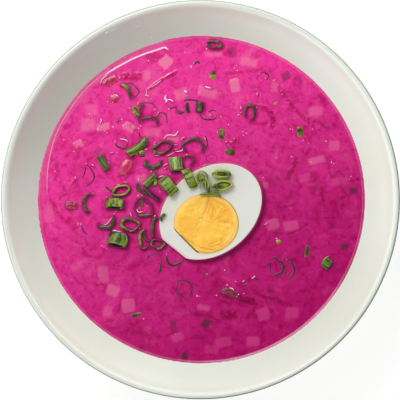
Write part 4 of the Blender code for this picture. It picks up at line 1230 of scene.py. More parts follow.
        # Painted shade: cracks, layer lines, crumb troughs and the crescent by the lower-left gap are browner.
        painted_crack_shade = np.maximum(np.maximum(crack * 0.3, layer * 0.4), spot_edge * 0.35)
        painted_crack_shade = np.maximum(painted_crack_shade, ease(-streak - ridge, 0.3, 1.0) * 0.3)
        painted_crack_shade = np.maximum(painted_crack_shade, bottom * ease(rho, 0.93, 0.965) * ease(-rho, -0.99, -0.97) * 0.6)
        store(piece.data, "pale", np.clip(pale, 0.0, 1.0))
        store(piece.data, "painted_crack_shade", np.clip(painted_crack_shade, 0.0, 1.0))
        # Painted shadow: a dark line in the groove along the yolk's lower-left chord.
        store(piece.data, "gap", np.clip(gap * 0.8, 0.0, 1.0))
        store(piece.data, "olive", np.clip(olive_side * rim * 0.7, 0.0, 1.0))
        piece.data.update()
        return piece

    def facing(self, heading: np.ndarray, towards: float, wide: float, full: float) -> np.ndarray:
        """Return 1 for headings near one direction, in degrees, and 0 away from it."""
        return ease(-np.abs((heading - towards + 180.0) % 360.0 - 180.0), -wide, -full)

    def crumb_lines(self, rho: np.ndarray, heading: np.ndarray) -> tuple[np.ndarray, np.ndarray]:
        """Return streaks that run out from the middle, and flaky rings near the edge."""
        around = np.radians(heading)
        reach = rho * self.yolk_width_mm * 0.5
        rays = rolled(np.column_stack((around * 7.0, reach * 0.22)), 1.3, 3, 4.1)
        streak = (rays * ease(rho, 0.10, 0.3) * ease(-rho, -0.85, -0.6)
                  * (0.25 + 0.75 * self.facing(heading, 40.0, 80.0, 30.0)))
        rings = rolled(np.column_stack((around * 3.0, reach * 1.5)), 1.7, 3, 6.6)
        ridge = rings * ease(rho, 0.5, 0.75) * (0.2 + 0.8 * self.facing(heading, 0.0, 100.0, 50.0))
        return streak, ridge

    def line(self, spots: np.ndarray, path: tuple, width: float, soft: float) -> np.ndarray:
        """Return a wandering line on the yolk's face."""
        return Stroke(Sunk.LEAF, path, width, 1.0, 0.0, soft).cover(spots, rolled(spots, 1.2, 3, 2.7) * 2.0)


# ------------------------------------------------------------- spring onion


@dataclass(frozen=True)
class OnionTube:
    """A cut of leaf lying on its side: sizes in millimetres, angles in degrees."""

    node: str
    heading: float
    length: float
    width: float
    thick: float
    wall: float
    tilt: float = 0.0
    bend: float = 0.0
    # pale: how strong the painted highlight is on the end towards the lamp
    pale: float = 0.2
    lime: float = 0.3
    soak_and_shade: float = 1.0
    wet_line: float = 0.6


TUBES = (
    OnionTube("onion_tube_01", 38.0, 11.4, 4.0, 3.4, 0.8, 4.0, 0.5, 0.0, 0.35, 0.3),
    OnionTube("onion_tube_02", 98.0, 7.0, 6.6, 4.6, 0.9, 10.0, 0.0, 0.5, 0.3, 0.3),
    OnionTube("onion_tube_03", 25.0, 4.2, 10.4, 3.6, 0.8, 16.0, 0.3, 0.3, 0.6, 0.2),
    OnionTube("onion_tube_04", 42.0, 5.6, 10.2, 4.4, 0.9, 14.0, 0.0, 0.35, 0.4, 0.4, 0.2),
    OnionTube("onion_tube_05", 43.0, 7.8, 3.6, 2.2, 0.5, 0.0, 0.3, 0.85, 0.0, 0.2),
    OnionTube("onion_tube_06", -41.0, 9.4, 2.0, 2.6, 0.5, 0.0, 0.4, 0.0, 0.1, 1.0, 1.6),
    OnionTube("onion_tube_07", 88.0, 4.8, 9.2, 4.4, 0.9, 22.0, 0.0, 0.1, 0.45, 0.9, 0.8),
    OnionTube("onion_tube_08", 77.0, 7.2, 10.2, 5.2, 1.1, 24.0, 0.6, 0.1, 0.35, 1.0, 1.7),
    OnionTube("onion_tube_09", -61.0, 8.0, 3.3, 1.8, 0.4, 0.0, 0.3, 0.25, 0.0, 0.5, 0.2),
    OnionTube("onion_tube_10", 86.0, 4.8, 3.4, 3.0, 0.7, 0.0, 0.2, 0.0, 0.1, 1.0, 1.4),
    OnionTube("onion_tube_11", -38.0, 3.8, 5.4, 2.8, 0.7, 0.0, 0.0, 0.1, 0.0, 1.0, 0.9),
)


@dataclass(frozen=True)
class OnionStrip:
    """A wall of cut leaf standing in the soup, drawn by its middle line.

    The path holds x, y and width in millimetres; top and foot are heights over
    the soup, and the pairs of tones run from the path's start to its end.
    """

    path: tuple
    closed: bool
    top: float
    foot: float
    lime: tuple
    brown: tuple
    soak_and_shade: float = 0.0


RING_UNEVEN = 0.28
SLIVER_FOOT_MM = -0.9


def ring_line(start: float, sweep: float, turn: float, slim: float, widths: tuple[float, float],
              middle: Vector, size: Vector) -> tuple:
    """Return part of a ring, stretched over a place.

    Args:
        start: where it starts, in degrees round the ring.
        sweep: how far it goes, in degrees; 360 either way closes it.
        turn: the heading of the ring's long side, in degrees.
        slim: the ring's short side as a share of its long one.
        widths: the wall's thin and thick widths, in millimetres.
        middle: the middle of the place, in millimetres.
        size: the sides of the place, in millimetres.

    Returns:
        Rows of x, y and width, in millimetres.
    """
    closed = abs(sweep) >= 360.0
    steps = 14 if closed else 3 + round(abs(sweep) / 25.0)
    cos_turn, sin_turn = math.cos(math.radians(turn)), math.sin(math.radians(turn))
    rows = []
    for index in range(steps if closed else steps + 1):
        share = index / steps
        around = math.radians(start + sweep * share)
        uneven = 1.0 + RING_UNEVEN * noise.noise(
            Vector((math.cos(around), math.sin(around), middle.x * 0.7 + middle.y)))
        x, y = uneven * math.cos(around), uneven * slim * math.sin(around)
        fat = 0.5 + 0.5 * math.cos(math.tau * share) if closed else math.sin(math.pi * share)
        rows.append(Vector((x * cos_turn - y * sin_turn, x * sin_turn + y * cos_turn,
                            widths[0] + (widths[1] - widths[0]) * fat)))
    low = Vector(min(row[axis] for row in rows) for axis in range(2))
    high = Vector(max(row[axis] for row in rows) for axis in range(2))
    stretch = [size[axis] / max(high[axis] - low[axis], 1e-6) for axis in range(2)]
    return tuple((middle.x + (row.x - (low.x + high.x) * 0.5) * stretch[0],
                  middle.y + (row.y - (low.y + high.y) * 0.5) * stretch[1], row.z) for row in rows)


@dataclass(frozen=True)
class Ribbon:
    """A wall set by a solid's box: part of a ring, in degrees and millimetres.

    Beside and size are shares of the box, for a wall that lies by the solid.
    """

    node: str
    start: float = 0.0
    sweep: float = 360.0
    thin: float = 0.7
    thick: float = 1.2
    top: float = 1.0
    foot: float = -1.1
    lime: tuple = (0.2, 0.2)
    brown: tuple = (0.3, 0.3)
    turn: float = 0.0
    slim: float = 0.6
    beside: tuple = (0.0, 0.0)
    size: tuple = (1.0, 1.0)
    stands_for_solid: bool = True

    def strip(self) -> OnionStrip:
        """Return the wall, fitted inside its share of the box."""
        low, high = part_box(self.node)
        half = (high - low) * (0.5 / MM)
        middle = (low + high) * (0.5 / MM)
        place = Vector((middle.x + half.x * self.beside[0], middle.y + half.y * self.beside[1]))
        size = Vector(max(2.0 * half[axis] * self.size[axis] - self.thin, 0.1) for axis in range(2))
        path = ring_line(self.start, self.sweep, self.turn, self.slim, (self.thin, self.thick), place, size)
        return OnionStrip(path, abs(self.sweep) >= 360.0, self.top, self.foot, self.lime, self.brown)


def beside(node: str, right: float, back: float, wide: float, deep: float, *shape, **tones) -> Ribbon:
    """Return a wall that lies at a share of a solid's box without standing for it."""
    return Ribbon(node, *shape, beside=(right, back), size=(wide, deep), stands_for_solid=False, **tones)


RIBBONS = (
    Ribbon("onion_ring_01", 190, -360, 0.7, 1.4, 1.5, -1.0, (0.6, 0.3), (0.25, 0.85), 18, 0.55),
    Ribbon("onion_ring_02", 180, 180, 0.9, 2.4, 1.3, -1.2, (0.05, 0.1), (0.2, 0.5)),
    Ribbon("onion_ring_03", 200, -220, 0.7, 1.8, 0.7, -1.2, (0.1, 0.0), (0.8, 0.8)),
    Ribbon("onion_ring_04", 160, -220, 0.5, 0.8, 0.5, -1.0, (0.2, 0.1), (0.5, 0.7)),
    Ribbon("onion_ring_05", 200, -360, 0.9, 1.3, 2.1, -0.8, (0.45, 0.75), (0.35, 0.25), 25, 0.5),
    Ribbon("onion_ring_06", 70, 200, 0.5, 1.7, 1.0, -1.2, (0.1, 0.2), (0.7, 0.4)),
    Ribbon("onion_ring_07", 160, -360, 0.8, 1.7, 1.7, -1.0, (0.5, 0.15), (0.1, 0.6), -14, 0.75),
    Ribbon("onion_ring_08", 215, 165, 0.5, 2.4, 1.2, -1.2, (0.1, 0.1), (0.8, 0.55)),
    Ribbon("onion_ring_09", 110, 170, 0.5, 1.7, 1.5, -1.2, (0.55, 0.1), (0.0, 0.6)),
    beside("onion_ring_09", 0.7, 0.3, 0.8, 0.6, 180, 60, 0.8, 0.9, 1.0, -1.2, (0.0, 0.2), (0.9, 0.6)),
    Ribbon("onion_ring_10", 110, 90, 0.7, 1.8, 1.5, -1.2, (0.4, 0.1), (0.2, 0.8)),
    beside("onion_ring_10", 0.3, 0.9, 1.2, 0.1, 120, -60, 0.5, 0.8, 0.9, -1.0, (0.2, 0.3), (0.6, 0.4)),
    Ribbon("onion_ring_11", 270, -360, 0.6, 1.1, 1.2, -1.0, (0.25, 0.35), (0.4, 0.7), -10),
    Ribbon("onion_ring_12", 220, -260, 0.55, 0.65, 0.35, -1.2, (0.0, 0.0), (1.0, 1.0), 0, 1.0),
    beside("onion_ring_12", 0.2, -0.95, 0.95, 0.15, 240, 60, 0.5, 1.5, 1.0, -1.2, (0.0, 0.05), (0.5, 0.4)),
    Ribbon("onion_ring_13", 90, -90, 1.0, 1.9, 0.8, -1.2, (0.6, 0.0), (0.1, 0.8)),
    beside("onion_ring_13", 1.05, 0.05, 1.5, 1.1, -80, 190, 0.6, 0.8, 0.2, -1.0, (0.0, 0.3), (1.0, 0.7)),
    Ribbon("onion_ring_14", 160, -150, 0.5, 0.8, 0.2, -1.0, (0.1, 0.0), (0.9, 1.0),
           beside=(0.2, 0.55), size=(0.9, 0.45)),
    beside("onion_ring_14", -0.8, -0.3, 0.45, 0.6, 170, 90, 1.6, 2.3, 0.5, -1.0, (0.9, 0.1), (0.0, 0.8)),
    beside("onion_ring_14", 0.3, -1.0, 0.8, 0.25, 150, -110, 0.9, 1.3, 0.5, -1.0, (0.1, 0.0), (0.8, 1.0)),
    beside("onion_ring_14", 1.05, -1.3, 0.1, 0.4, 60, -80, 0.4, 0.8, 0.4, -1.0, (0.0, 0.0), (1.0, 1.0)),
    beside("onion_ring_14", -0.65, -1.05, 0.1, 0.3, 180, 40, 0.8, 1.1, 0.4, -1.0, (0.1, 0.0), (0.8, 1.0)),
    beside("onion_ring_14", -0.45, 0.1, 0.2, 0.65, 180, -50, 1.0, 1.4, 0.4, -1.0, (0.2, 0.0), (0.7, 0.8)),
    beside("onion_ring_14", 1.6, -1.0, 0.55, 0.85, 170, -180, 0.6, 0.8, 0.12, -1.0, (0.0, 0.0), (1.0, 1.0)),
    Ribbon("onion_ring_15", 60, -360, 0.8, 1.0, 1.0, -1.1, (0.3, 0.1), (0.4, 0.7), -8, 0.55),
    Ribbon("onion_ring_16", 200, -260, 0.7, 1.5, 0.9, -1.1, (0.2, 0.1), (0.5, 0.7)),
    Ribbon("onion_tube_12", 230, -230, 0.6, 1.1, 5.4, 2.6, (0.3, 0.75), (0.1, 0.0),
           beside=(-0.2, 0.45), size=(0.8, 0.7)),
    beside("onion_tube_12", 0.55, -0.4, 0.3, 0.75, 20, -40, 1.1, 1.5, 5.4, 2.6, (0.75, 0.75), (0.0, 0.0)),
    beside("onion_tube_12", -0.1, -0.1, 0.45, 0.65, 200, -220, 0.5, 0.9, 4.9, 2.6, (0.5, 0.5), (0.1, 0.0)),
    beside("onion_tube_12", -0.3, 0.45, 0.4, 0.6, 180, -30, 2.6, 3.4, 4.0, 2.6, (1.0, 0.7), (0.3, 0.35)),
    beside("onion_tube_12", 0.3, -0.1, 0.3, 0.75, 180, -30, 1.4, 1.8, 4.2, 2.6, (0.5, 0.7), (0.1, 0.05)),
    Ribbon("onion_tube_13", 170, -360, 1.2, 1.4, 5.5, 2.6, (0.7, 0.3), (0.0, 0.1), -4, 0.42),
    beside("onion_tube_13", 0.15, -0.1, 0.8, 0.5, 120, -60, 1.8, 2.2, 4.4, 2.6, (0.9, 0.6), (0.05, 0.1)),
    Ribbon("onion_tube_14", 190, -360, 1.1, 1.4, 6.0, 3.0, (0.75, 0.5), (0.0, 0.0), 10, 0.45),
    beside("onion_tube_14", 0.0, -0.2, 0.9, 0.6, 120, -50, 2.4, 3.0, 4.6, 3.0,
           (1.0, 0.8), (0.2, 0.15), turn=10),
    beside("onion_tube_14", -1.15, -1.7, 1.1, 0.4, 60, 60, 0.8, 1.8, 4.3, 2.4, (0.05, 0.1), (0.3, 0.1)),
    Ribbon("onion_tube_15", 180, -60, 0.8, 2.0, 3.2, 0.8, (0.5, 1.0), (0.1, 0.0), size=(0.8, 0.8)),
)


@dataclass(frozen=True)
class Sliver:
    """A thread of leaf in the soup: its place from the soup's middle, its sides
    and its width in millimetres, and the part of a ring that it is, in degrees.
    """

    x: float
    y: float
    wide: float
    deep: float
    start: float
    sweep: float
    thick: float = 0.8
    green: float = 0.0
    top: float = 0.2

    def strip(self) -> OnionStrip:
        """Return the wall, which only just breaks the surface."""
        low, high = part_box("soup")
        middle = (low + high) * (0.5 / MM) + Vector((self.x, self.y, 0.0))
        thin = self.thick * (0.5 if self.thick < 1.8 else 0.75)
        path = ring_line(self.start, self.sweep, 0.0, 1.0, (thin, self.thick), middle,
                         Vector((self.wide, self.deep)))
        return OnionStrip(path, abs(self.sweep) >= 360.0, self.top, SLIVER_FOOT_MM, (self.green, self.green * 0.6),
                          (1.0 - self.green, 1.0 - self.green), 0.9 * (1.0 - self.green))


SLIVERS = (
    Sliver(-57, 12, 5, 11, 80, -160), Sliver(-60, 14, 2, 7, 10, -50, 0.6),
    Sliver(-40.5, 27.5, 6, 3, 180, 180, 1.1),
    Sliver(-30.5, 33, 2, 3, 180, 70, 0.7), Sliver(-14, 46.5, 4, 1.5, 160, -140, 0.8, 0.1),
    Sliver(-10, 44.5, 3, 0.5, 220, 100, 1.5, 0.2, 0.3), Sliver(-5, 50.5, 7.5, 1, 160, -130, 1.2, 0.2),
    Sliver(-6.5, 47, 1, 5.5, 170, 40, 2.1), Sliver(4, 42.5, 9, 3.5, 190, 150),
    Sliver(6, 45, 4, 1, 170, -140, 0.6),
    Sliver(2.5, 29, 2, 7, 70, -150, 1.0), Sliver(5.5, 21, 5.5, 4.5, 180, -360, 0.4, 0.0, 0.1),
    Sliver(32.5, 63, 4, 4, 120, -170), Sliver(-23.5, -30, 7, 5, 200, -230, 0.6),
    Sliver(-21, -35, 1.5, 5, 60, -130, 1.4, 0.3),
    Sliver(-13, -31, 9, 5, 180, 160, 1.6, 0.1), Sliver(-10.5, -27, 1.5, 0.2, 100, -20, 1.0),
    Sliver(-8.5, -45.5, 8, 9, 130, -160), Sliver(-9, -46.5, 7, 9, 140, 130, 0.7),
    Sliver(39, -34.5, 6, 9.5, 110, -220, 1.5),
    Sliver(35.5, -34.5, 0.3, 6, 20, -40, 0.6), Sliver(45.5, -35.5, 4.5, 10, 110, -200, 1.4),
    Sliver(43, -36, 1, 6, 20, -40, 0.6),
    Sliver(-59.5, -15.5, 3, 5, 200, 40), Sliver(-47, 5.5, 3.5, 3, 190, 50, 0.9, 0.0, 0.4),
    Sliver(-2, 69.5, 3, 1.5, 60, 60, 1.3, 0.3, 0.3), Sliver(28.5, -40.5, 2.5, 0.5, 220, 100, 1.1),
    Sliver(23, -43, 2.5, 1, 230, 100, 1.1, 0.4), Sliver(-33, -59, 5.5, 1.5, 150, -60, 2.2, 0.5),
    Sliver(54, -26.5, 1, 6, 20, -40, 2.4, 0.5), Sliver(50.5, 34.5, 0.3, 5.5, 20, -40, 3.6, 0.6),
    Sliver(6, 63.5, 0.5, 4, 20, -40, 3.4, 0.6), Sliver(10.5, 33.5, 0.5, 5.5, 20, -40, 3.6, 0.5),
    Sliver(15, 24, 5, 1, 110, -40, 3.6, 0.45, 0.3), Sliver(38.5, 49, 2, 0.3, 110, -40, 1.9, 0.6, 0.1),
    Sliver(39.5, -22, 1.5, 0.5, 110, -40, 3.0, 0.9, 0.3), Sliver(3, -38.5, 1, 0.5, 110, -40, 1.9, 0.5, 0.1),
    Sliver(20.5, 44, 0.3, 1, 20, -40, 1.4, 0.9, 0.3), Sliver(-42, 40, 1, 1.5, 180, -50, 1.4, 0.6, 0.1),
    Sliver(-33.5, 46.5, 2, 2, 180, -50, 2.4, 0.8, 0.3), Sliver(-27, 31.5, 1.5, 0.5, 110, -40, 1.3, 0.8, 0.4),
    Sliver(63.5, -31.5, 3.5, 5.5, 180, -50, 0.7, 0.9, 0.8), Sliver(-30, 24, 3, 0.5, 120, -60, 2.2, 0.8, 0.9),
    Sliver(-30, 22.5, 3, 0.5, 240, 60, 1.3, 0.0, 0.4), Sliver(-23.5, 8.5, 1, 4, 40, -80, 1.8, 0.8, 1.0),
    Sliver(-29.5, 5.5, 5.5, 6, 190, 50, 2.2, 0.4, 1.5), Sliver(-30, -2, 0.5, 3.5, 160, 40, 1.9, 0.4, 0.9),
)


def soft_curve(path: Sequence[Sequence[float]], closed: bool = False, cuts: int = 4) -> list[Vector]:
    """Return points on a smooth curve through x, y, width rows, in millimetres."""
    points = [Vector(row) for row in path]
    if closed:
        points = [points[-1], *points, points[0], points[1]]
    else:
        points = [points[0] * 2 - points[1], *points, points[-1] * 2 - points[-2]]
    curve = []
    for p0, p1, p2, p3 in zip(points, points[1:], points[2:], points[3:]):
        for i in range(cuts):
            t = i / cuts
            curve.append(0.5 * (2 * p1 + (p2 - p0) * t + (2 * p0 - 5 * p1 + 4 * p2 - p3) * t * t
                                + (3 * p1 - p0 - 3 * p2 + p3) * t * t * t))
    if not closed:
        curve.append(points[-2])
    return curve


def sweep_wall(
    shape: bmesh.types.BMesh,
    curve: Sequence[Vector],
    closed: bool,
    top: float,
    foot: float,
    square: float = 0.6,
    sides: int = 12,
) -> list[list[bmesh.types.BMVert]]:
    """Draw a soft wall along a curve.

    Args:
        shape: the mesh it is added to.
        curve: x, y and width of each section, in millimetres.
        closed: whether the wall runs back into itself.
        top: its height over the soup, in millimetres.
        foot: the height of its lower edge.
        square: 1 for a round section, less for a squarer one.
        sides: points round the section.

    Returns:
        The sections, from the curve's start to its end.
    """
    count = len(curve)
    middle, half_height = (top + foot) * 0.5, (top - foot) * 0.5
    loops = []
    for index, point in enumerate(curve):
        before = curve[index - 1] if (index or closed) else point
        after = curve[(index + 1) % count] if (index < count - 1 or closed) else point
        ahead = (after - before).to_2d().normalized()
        side = Vector((-ahead.y, ahead.x))
        end = 1.0 if closed else min(1.0, 0.55 + 0.45 * min(index, count - 1 - index) / 1.5)
        half = max(point.z, 0.15) * 0.5 * end
        ring = bmesh.ops.create_circle(shape, segments=sides, radius=1.0)["verts"]
        for corner in ring:
            c = math.copysign(abs(corner.co.x) ** square, corner.co.x)
            h = math.copysign(abs(corner.co.y) ** square, corner.co.y)
            place = point.to_2d() + side * (c * half)
            corner.co = Vector((place.x * MM, place.y * MM, LEVEL + (middle + h * half_height * end) * MM))
        loops.append(ring)
    for index in range(count if closed else count - 1):
        edges = [e for ring in (loops[index], loops[(index + 1) % count]) for v in ring for e in v.link_edges
                 if e.other_vert(v) in ring]
        bmesh.ops.bridge_loops(shape, edges=list(dict.fromkeys(edges)))
    if not closed:
        for ring in (loops[0], loops[-1]):
            shape.faces.new(ring)
    return loops


TONES = ("pale", "lime", "brown", "soak_and_shade")


@dataclass
class SpringOnion:
    """All the spring onion: cuts on their side, standing rings, sunk edges."""

    tubes: tuple = TUBES
    ribbons: tuple = RIBBONS
    slivers: tuple = SLIVERS
    around_steps: int = 44
    along_steps: int = 10

    def shell(self, cut: OnionTube) -> bmesh.types.BMesh:
        """Return one hollow cut about Z, with rounded rims, in metres."""
        shape = bmesh.new()
        tall = cut.length * MM
        line = [shape.verts.new((1.0, 0.0, tall * (i / self.along_steps - 0.5)))
                for i in range(self.along_steps + 1)]
        for a, b in zip(line, line[1:]):
            shape.edges.new((a, b))
        bmesh.ops.spin(shape, geom=shape.verts[:] + shape.edges[:], cent=(0, 0, 0), axis=(0, 0, 1),
                       angle=math.tau, steps=self.around_steps, use_merge=True)
        bmesh.ops.scale(shape, vec=(cut.width * 0.5 * MM, cut.thick * 0.5 * MM, 1.0), verts=shape.verts)
        bmesh.ops.recalc_face_normals(shape, faces=shape.faces[:])
        side = shape.faces[:][0]
        if side.normal.dot(side.calc_center_median()) < 0.0:
            bmesh.ops.reverse_faces(shape, faces=shape.faces[:])
        bmesh.ops.solidify(shape, geom=shape.faces[:], thickness=cut.wall * MM)
        bmesh.ops.recalc_face_normals(shape, faces=shape.faces[:])
        sharp = [e for e in shape.edges if len(e.link_faces) == 2 and e.calc_face_angle() > 1.0]
        bmesh.ops.bevel(shape, geom=sharp, affect="EDGES", offset=cut.wall * 0.3 * MM,
                        segments=2, profile=0.5, material=-1)
        return shape

    def wear(self, shape: bmesh.types.BMesh, cut: OnionTube, seed: int) -> None:
        """Mark a cut's leaf directions and rims, then squash it out of true."""
        layer = shape.verts.layers.float_vector.new("leaf_map")
        rims = shape.verts.layers.float.new("cut")
        tall, wide, high = cut.length * MM, cut.width * 0.5 * MM, cut.thick * 0.5 * MM
        for corner in shape.verts:
            x, y, z = corner.co
            around = math.atan2(y / high, x / wide)
            end = z / (tall * 0.5)
            corner[layer] = (around * cut.width * 0.16, z / (2.4 * MM), seed * 1.7)
            corner[rims] = max(0.0, min(1.0, (abs(end) - 0.93) / 0.07))
            sway = noise.fractal(Vector((math.cos(around), math.sin(around), end * 0.5 + seed)), 1.0, 2.0, 2)
            corner.co = Vector((x * (1.0 + 0.10 * sway) + cut.bend * MM * end * end,
                                y * (1.0 + 0.16 * sway) - 0.10 * high * end, z * (1.0 + 0.10 * sway)))

    def tube(self, cut: OnionTube, seed: int) -> bmesh.types.BMesh:
        """Return a cut on its side, in the middle of its solid's box."""
        shape = self.shell(cut)
        self.wear(shape, cut, seed)
        turn = (Matrix.Rotation(math.radians(cut.heading), 4, "Z")
                @ Matrix.Rotation(math.radians(90.0 + cut.tilt), 4, "Y"))
        bmesh.ops.transform(shape, matrix=turn @ Matrix.Rotation(math.radians(90.0), 4, "Z"),
                            verts=shape.verts)
        low = Vector(min(v.co[axis] for v in shape.verts) for axis in range(3))
        high = Vector(max(v.co[axis] for v in shape.verts) for axis in range(3))
        box_low, box_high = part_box(cut.node)
        bmesh.ops.translate(shape, vec=(box_low + box_high - low - high) * 0.5, verts=shape.verts)
        layers = {name: shape.verts.layers.float.new(name) for name in TONES}
        middle = (box_low + box_high) * 0.5
        window = Vector((-0.53, 0.85, 0.0))
        for corner in shape.verts:
            # Painted highlight: tubes are paler on their end towards the lamp.
            near = (corner.co - middle).dot(window) / (0.35 * (cut.length + cut.width) * MM)
            height = (corner.co.z - LEVEL) / MM
            # Below the wet line the tube goes brown and plum: soup stain with painted shade and painted soup
            # reflection.
            wet = max(0.0, min(1.0, (cut.wet_line - height) / 0.8 + 0.5))
            corner[layers["pale"]] = cut.pale * max(0.0, min(1.0, 0.45 + near))
            corner[layers["lime"]] = cut.lime
            corner[layers["brown"]] = wet * cut.soak_and_shade
            corner[layers["soak_and_shade"]] = wet * cut.soak_and_shade
        return shape

    def wall(self, strip: OnionStrip, seed: int) -> bmesh.types.BMesh:
        """Return a standing wall, marked with its tones."""
        shape = bmesh.new()
        layer = shape.verts.layers.float_vector.new("leaf_map")
        rims = shape.verts.layers.float.new("cut")
        layers = {name: shape.verts.layers.float.new(name) for name in TONES}
        curve = soft_curve(strip.path, strip.closed, 5)
        loops = sweep_wall(shape, curve, strip.closed, strip.top, strip.foot)
        last = len(loops) - 1
        for index, ring in enumerate(loops):
            share = index / max(1, last)
            if strip.closed:
                share = 1.0 - abs(2.0 * share - 1.0)
            for corner in ring:
                height = (corner.co.z - LEVEL) / MM
                up = (height - strip.foot) / (strip.top - strip.foot)
                sway = noise.noise(Vector((corner.co.x * 900.0, corner.co.y * 900.0, seed)))
                corner[layer] = (height * 0.25, index * 0.15, seed * 1.3)
                corner[rims] = max(0.0, min(1.0, (up - 0.8) / 0.2)) * 0.8
                corner[layers["pale"]] = 0.0
                corner[layers["lime"]] = max(
                    0.0, strip.lime[0] + (strip.lime[1] - strip.lime[0]) * share + 0.2 * sway)
                corner[layers["brown"]] = (
                    strip.brown[0] + (strip.brown[1] - strip.brown[0]) * share + 0.3 * sway)
                # Darker towards the foot of a wall in the soup: soup stain with painted shade and painted soup
                # reflection.
                corner[layers["soak_and_shade"]] = (
                    max(strip.soak_and_shade, min(1.0, 0.9 - up * 1.6)) if strip.foot < 0.0 else 0.0)
        bmesh.ops.recalc_face_normals(shape, faces=shape.faces[:])
        return shape

    def gather(self, name: str, shapes: Iterable[bmesh.types.BMesh], finish: bpy.types.Material,
               nodes: Sequence[str]) -> bpy.types.Object:
        """Return one piece made of several shapes, which are freed."""
        whole = bmesh.new()
        scratch = bpy.data.meshes.new("scratch")
        for shape in shapes:
            shape.to_mesh(scratch)
            shape.free()
            whole.from_mesh(scratch)
            scratch.clear_geometry()
        bpy.data.meshes.remove(scratch)
        return finish_piece(name, whole, finish, nodes, False)

    def build(self, finish: bpy.types.Material) -> list[bpy.types.Object]:
        """Return the cuts, the standing walls and the sunk edges, one piece each."""
        tubes = (self.tube(cut, seed) for seed, cut in enumerate(self.tubes))
        walls = (self.wall(ribbon.strip(), seed) for seed, ribbon in enumerate(self.ribbons))
        sunk = (self.wall(sliver.strip(), 90 + seed) for seed, sliver in enumerate(self.slivers))
        return [
            self.gather("onion_tubes", tubes, finish, [cut.node for cut in self.tubes]),
            self.gather("onion_rings", walls, finish,
                        [ribbon.node for ribbon in self.ribbons if ribbon.stands_for_solid]),
            self.gather("sunk_onion", sunk, finish, ()),
        ]


# ---------------------------------------------------------------- beet pieces


@dataclass(frozen=True)
class BeetPiece:
    """A beet piece that stands out of the soup."""

    node: str
    heading: float
    length: float
    width: float
    thick: float
    film: float = 0.6
    rough: float = 0.1
    square: float = 0.45
    drop: float = 0.0
    deep: float = 0.0


BEETS = (
    BeetPiece("beet_01", 56.0, 11.6, 7.4, 4.0, 0.5, 0.03, 0.05, 0.1),
    BeetPiece("beet_02", 26.0, 10.4, 6.0, 3.6, 0.35, 0.06, 0.3, 0.5),
    BeetPiece("beet_03", 0.0, 5.8, 5.0, 2.8, 0.5, 0.05, 0.3, 0.4),
    BeetPiece("beet_04", -6.0, 8.0, 4.6, 3.0, 0.2, deep=0.5),
    BeetPiece("beet_05", -22.0, 9.4, 4.4, 2.8, 0.0, 0.16, deep=1.0),
)


@dataclass
class BeetPieces:
    """The beet that breaks the surface."""

    pieces: tuple = BEETS

    def lump(self, beet: BeetPiece, seed: int) -> bmesh.types.BMesh:
        """Return one soft block with a rough, fibrous surface."""
        shape = bmesh.new()
        bmesh.ops.create_icosphere(shape, subdivisions=5, radius=1.0)
        film = shape.verts.layers.float.new("film")
        deep = shape.verts.layers.float.new("deep")
        for corner in shape.verts:
            x, y, z = corner.co
            push = 1.0 / max(abs(x), abs(y), abs(z))
            rough = noise.fractal(Vector((x, y, z)) * 2.6 + Vector((seed, 0, 0)), 1.0, 2.0, 4)
            corner.co = (Vector((x, y, z)) * (1.0 - beet.square + beet.square * push)
                         * (1.0 + beet.rough * rough))
            corner[deep] = beet.deep
            corner[film] = min(1.0, beet.film * max(0.0, 0.75 - 0.3 * x + 0.2 * y))
        reach = [max(abs(v.co[axis]) for v in shape.verts) for axis in range(3)]
        sizes = (beet.length, beet.width, beet.thick)
        bmesh.ops.scale(shape, vec=tuple(size * 0.5 * MM / r for size, r in zip(sizes, reach)),
                        verts=shape.verts)
        bmesh.ops.rotate(shape, matrix=Matrix.Rotation(math.radians(beet.heading), 3, "Z"), verts=shape.verts)
        low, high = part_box(beet.node)
        bmesh.ops.translate(shape, vec=(low + high) * 0.5 - Vector((0, 0, beet.drop * MM)), verts=shape.verts)
        return shape

    def build(self, finish: bpy.types.Material) -> bpy.types.Object:
        """Return all the lumps as one piece."""
        whole = bmesh.new()
        scratch = bpy.data.meshes.new("lump")
        for seed, beet in enumerate(self.pieces):
            shape = self.lump(beet, seed * 7)
            shape.to_mesh(scratch)
            shape.free()
            whole.from_mesh(scratch)
            scratch.clear_geometry()
        bpy.data.meshes.remove(scratch)
        return finish_piece("beet_pieces", whole, finish, [beet.node for beet in self.pieces])


# ------------------------------------------------------------- small wet things


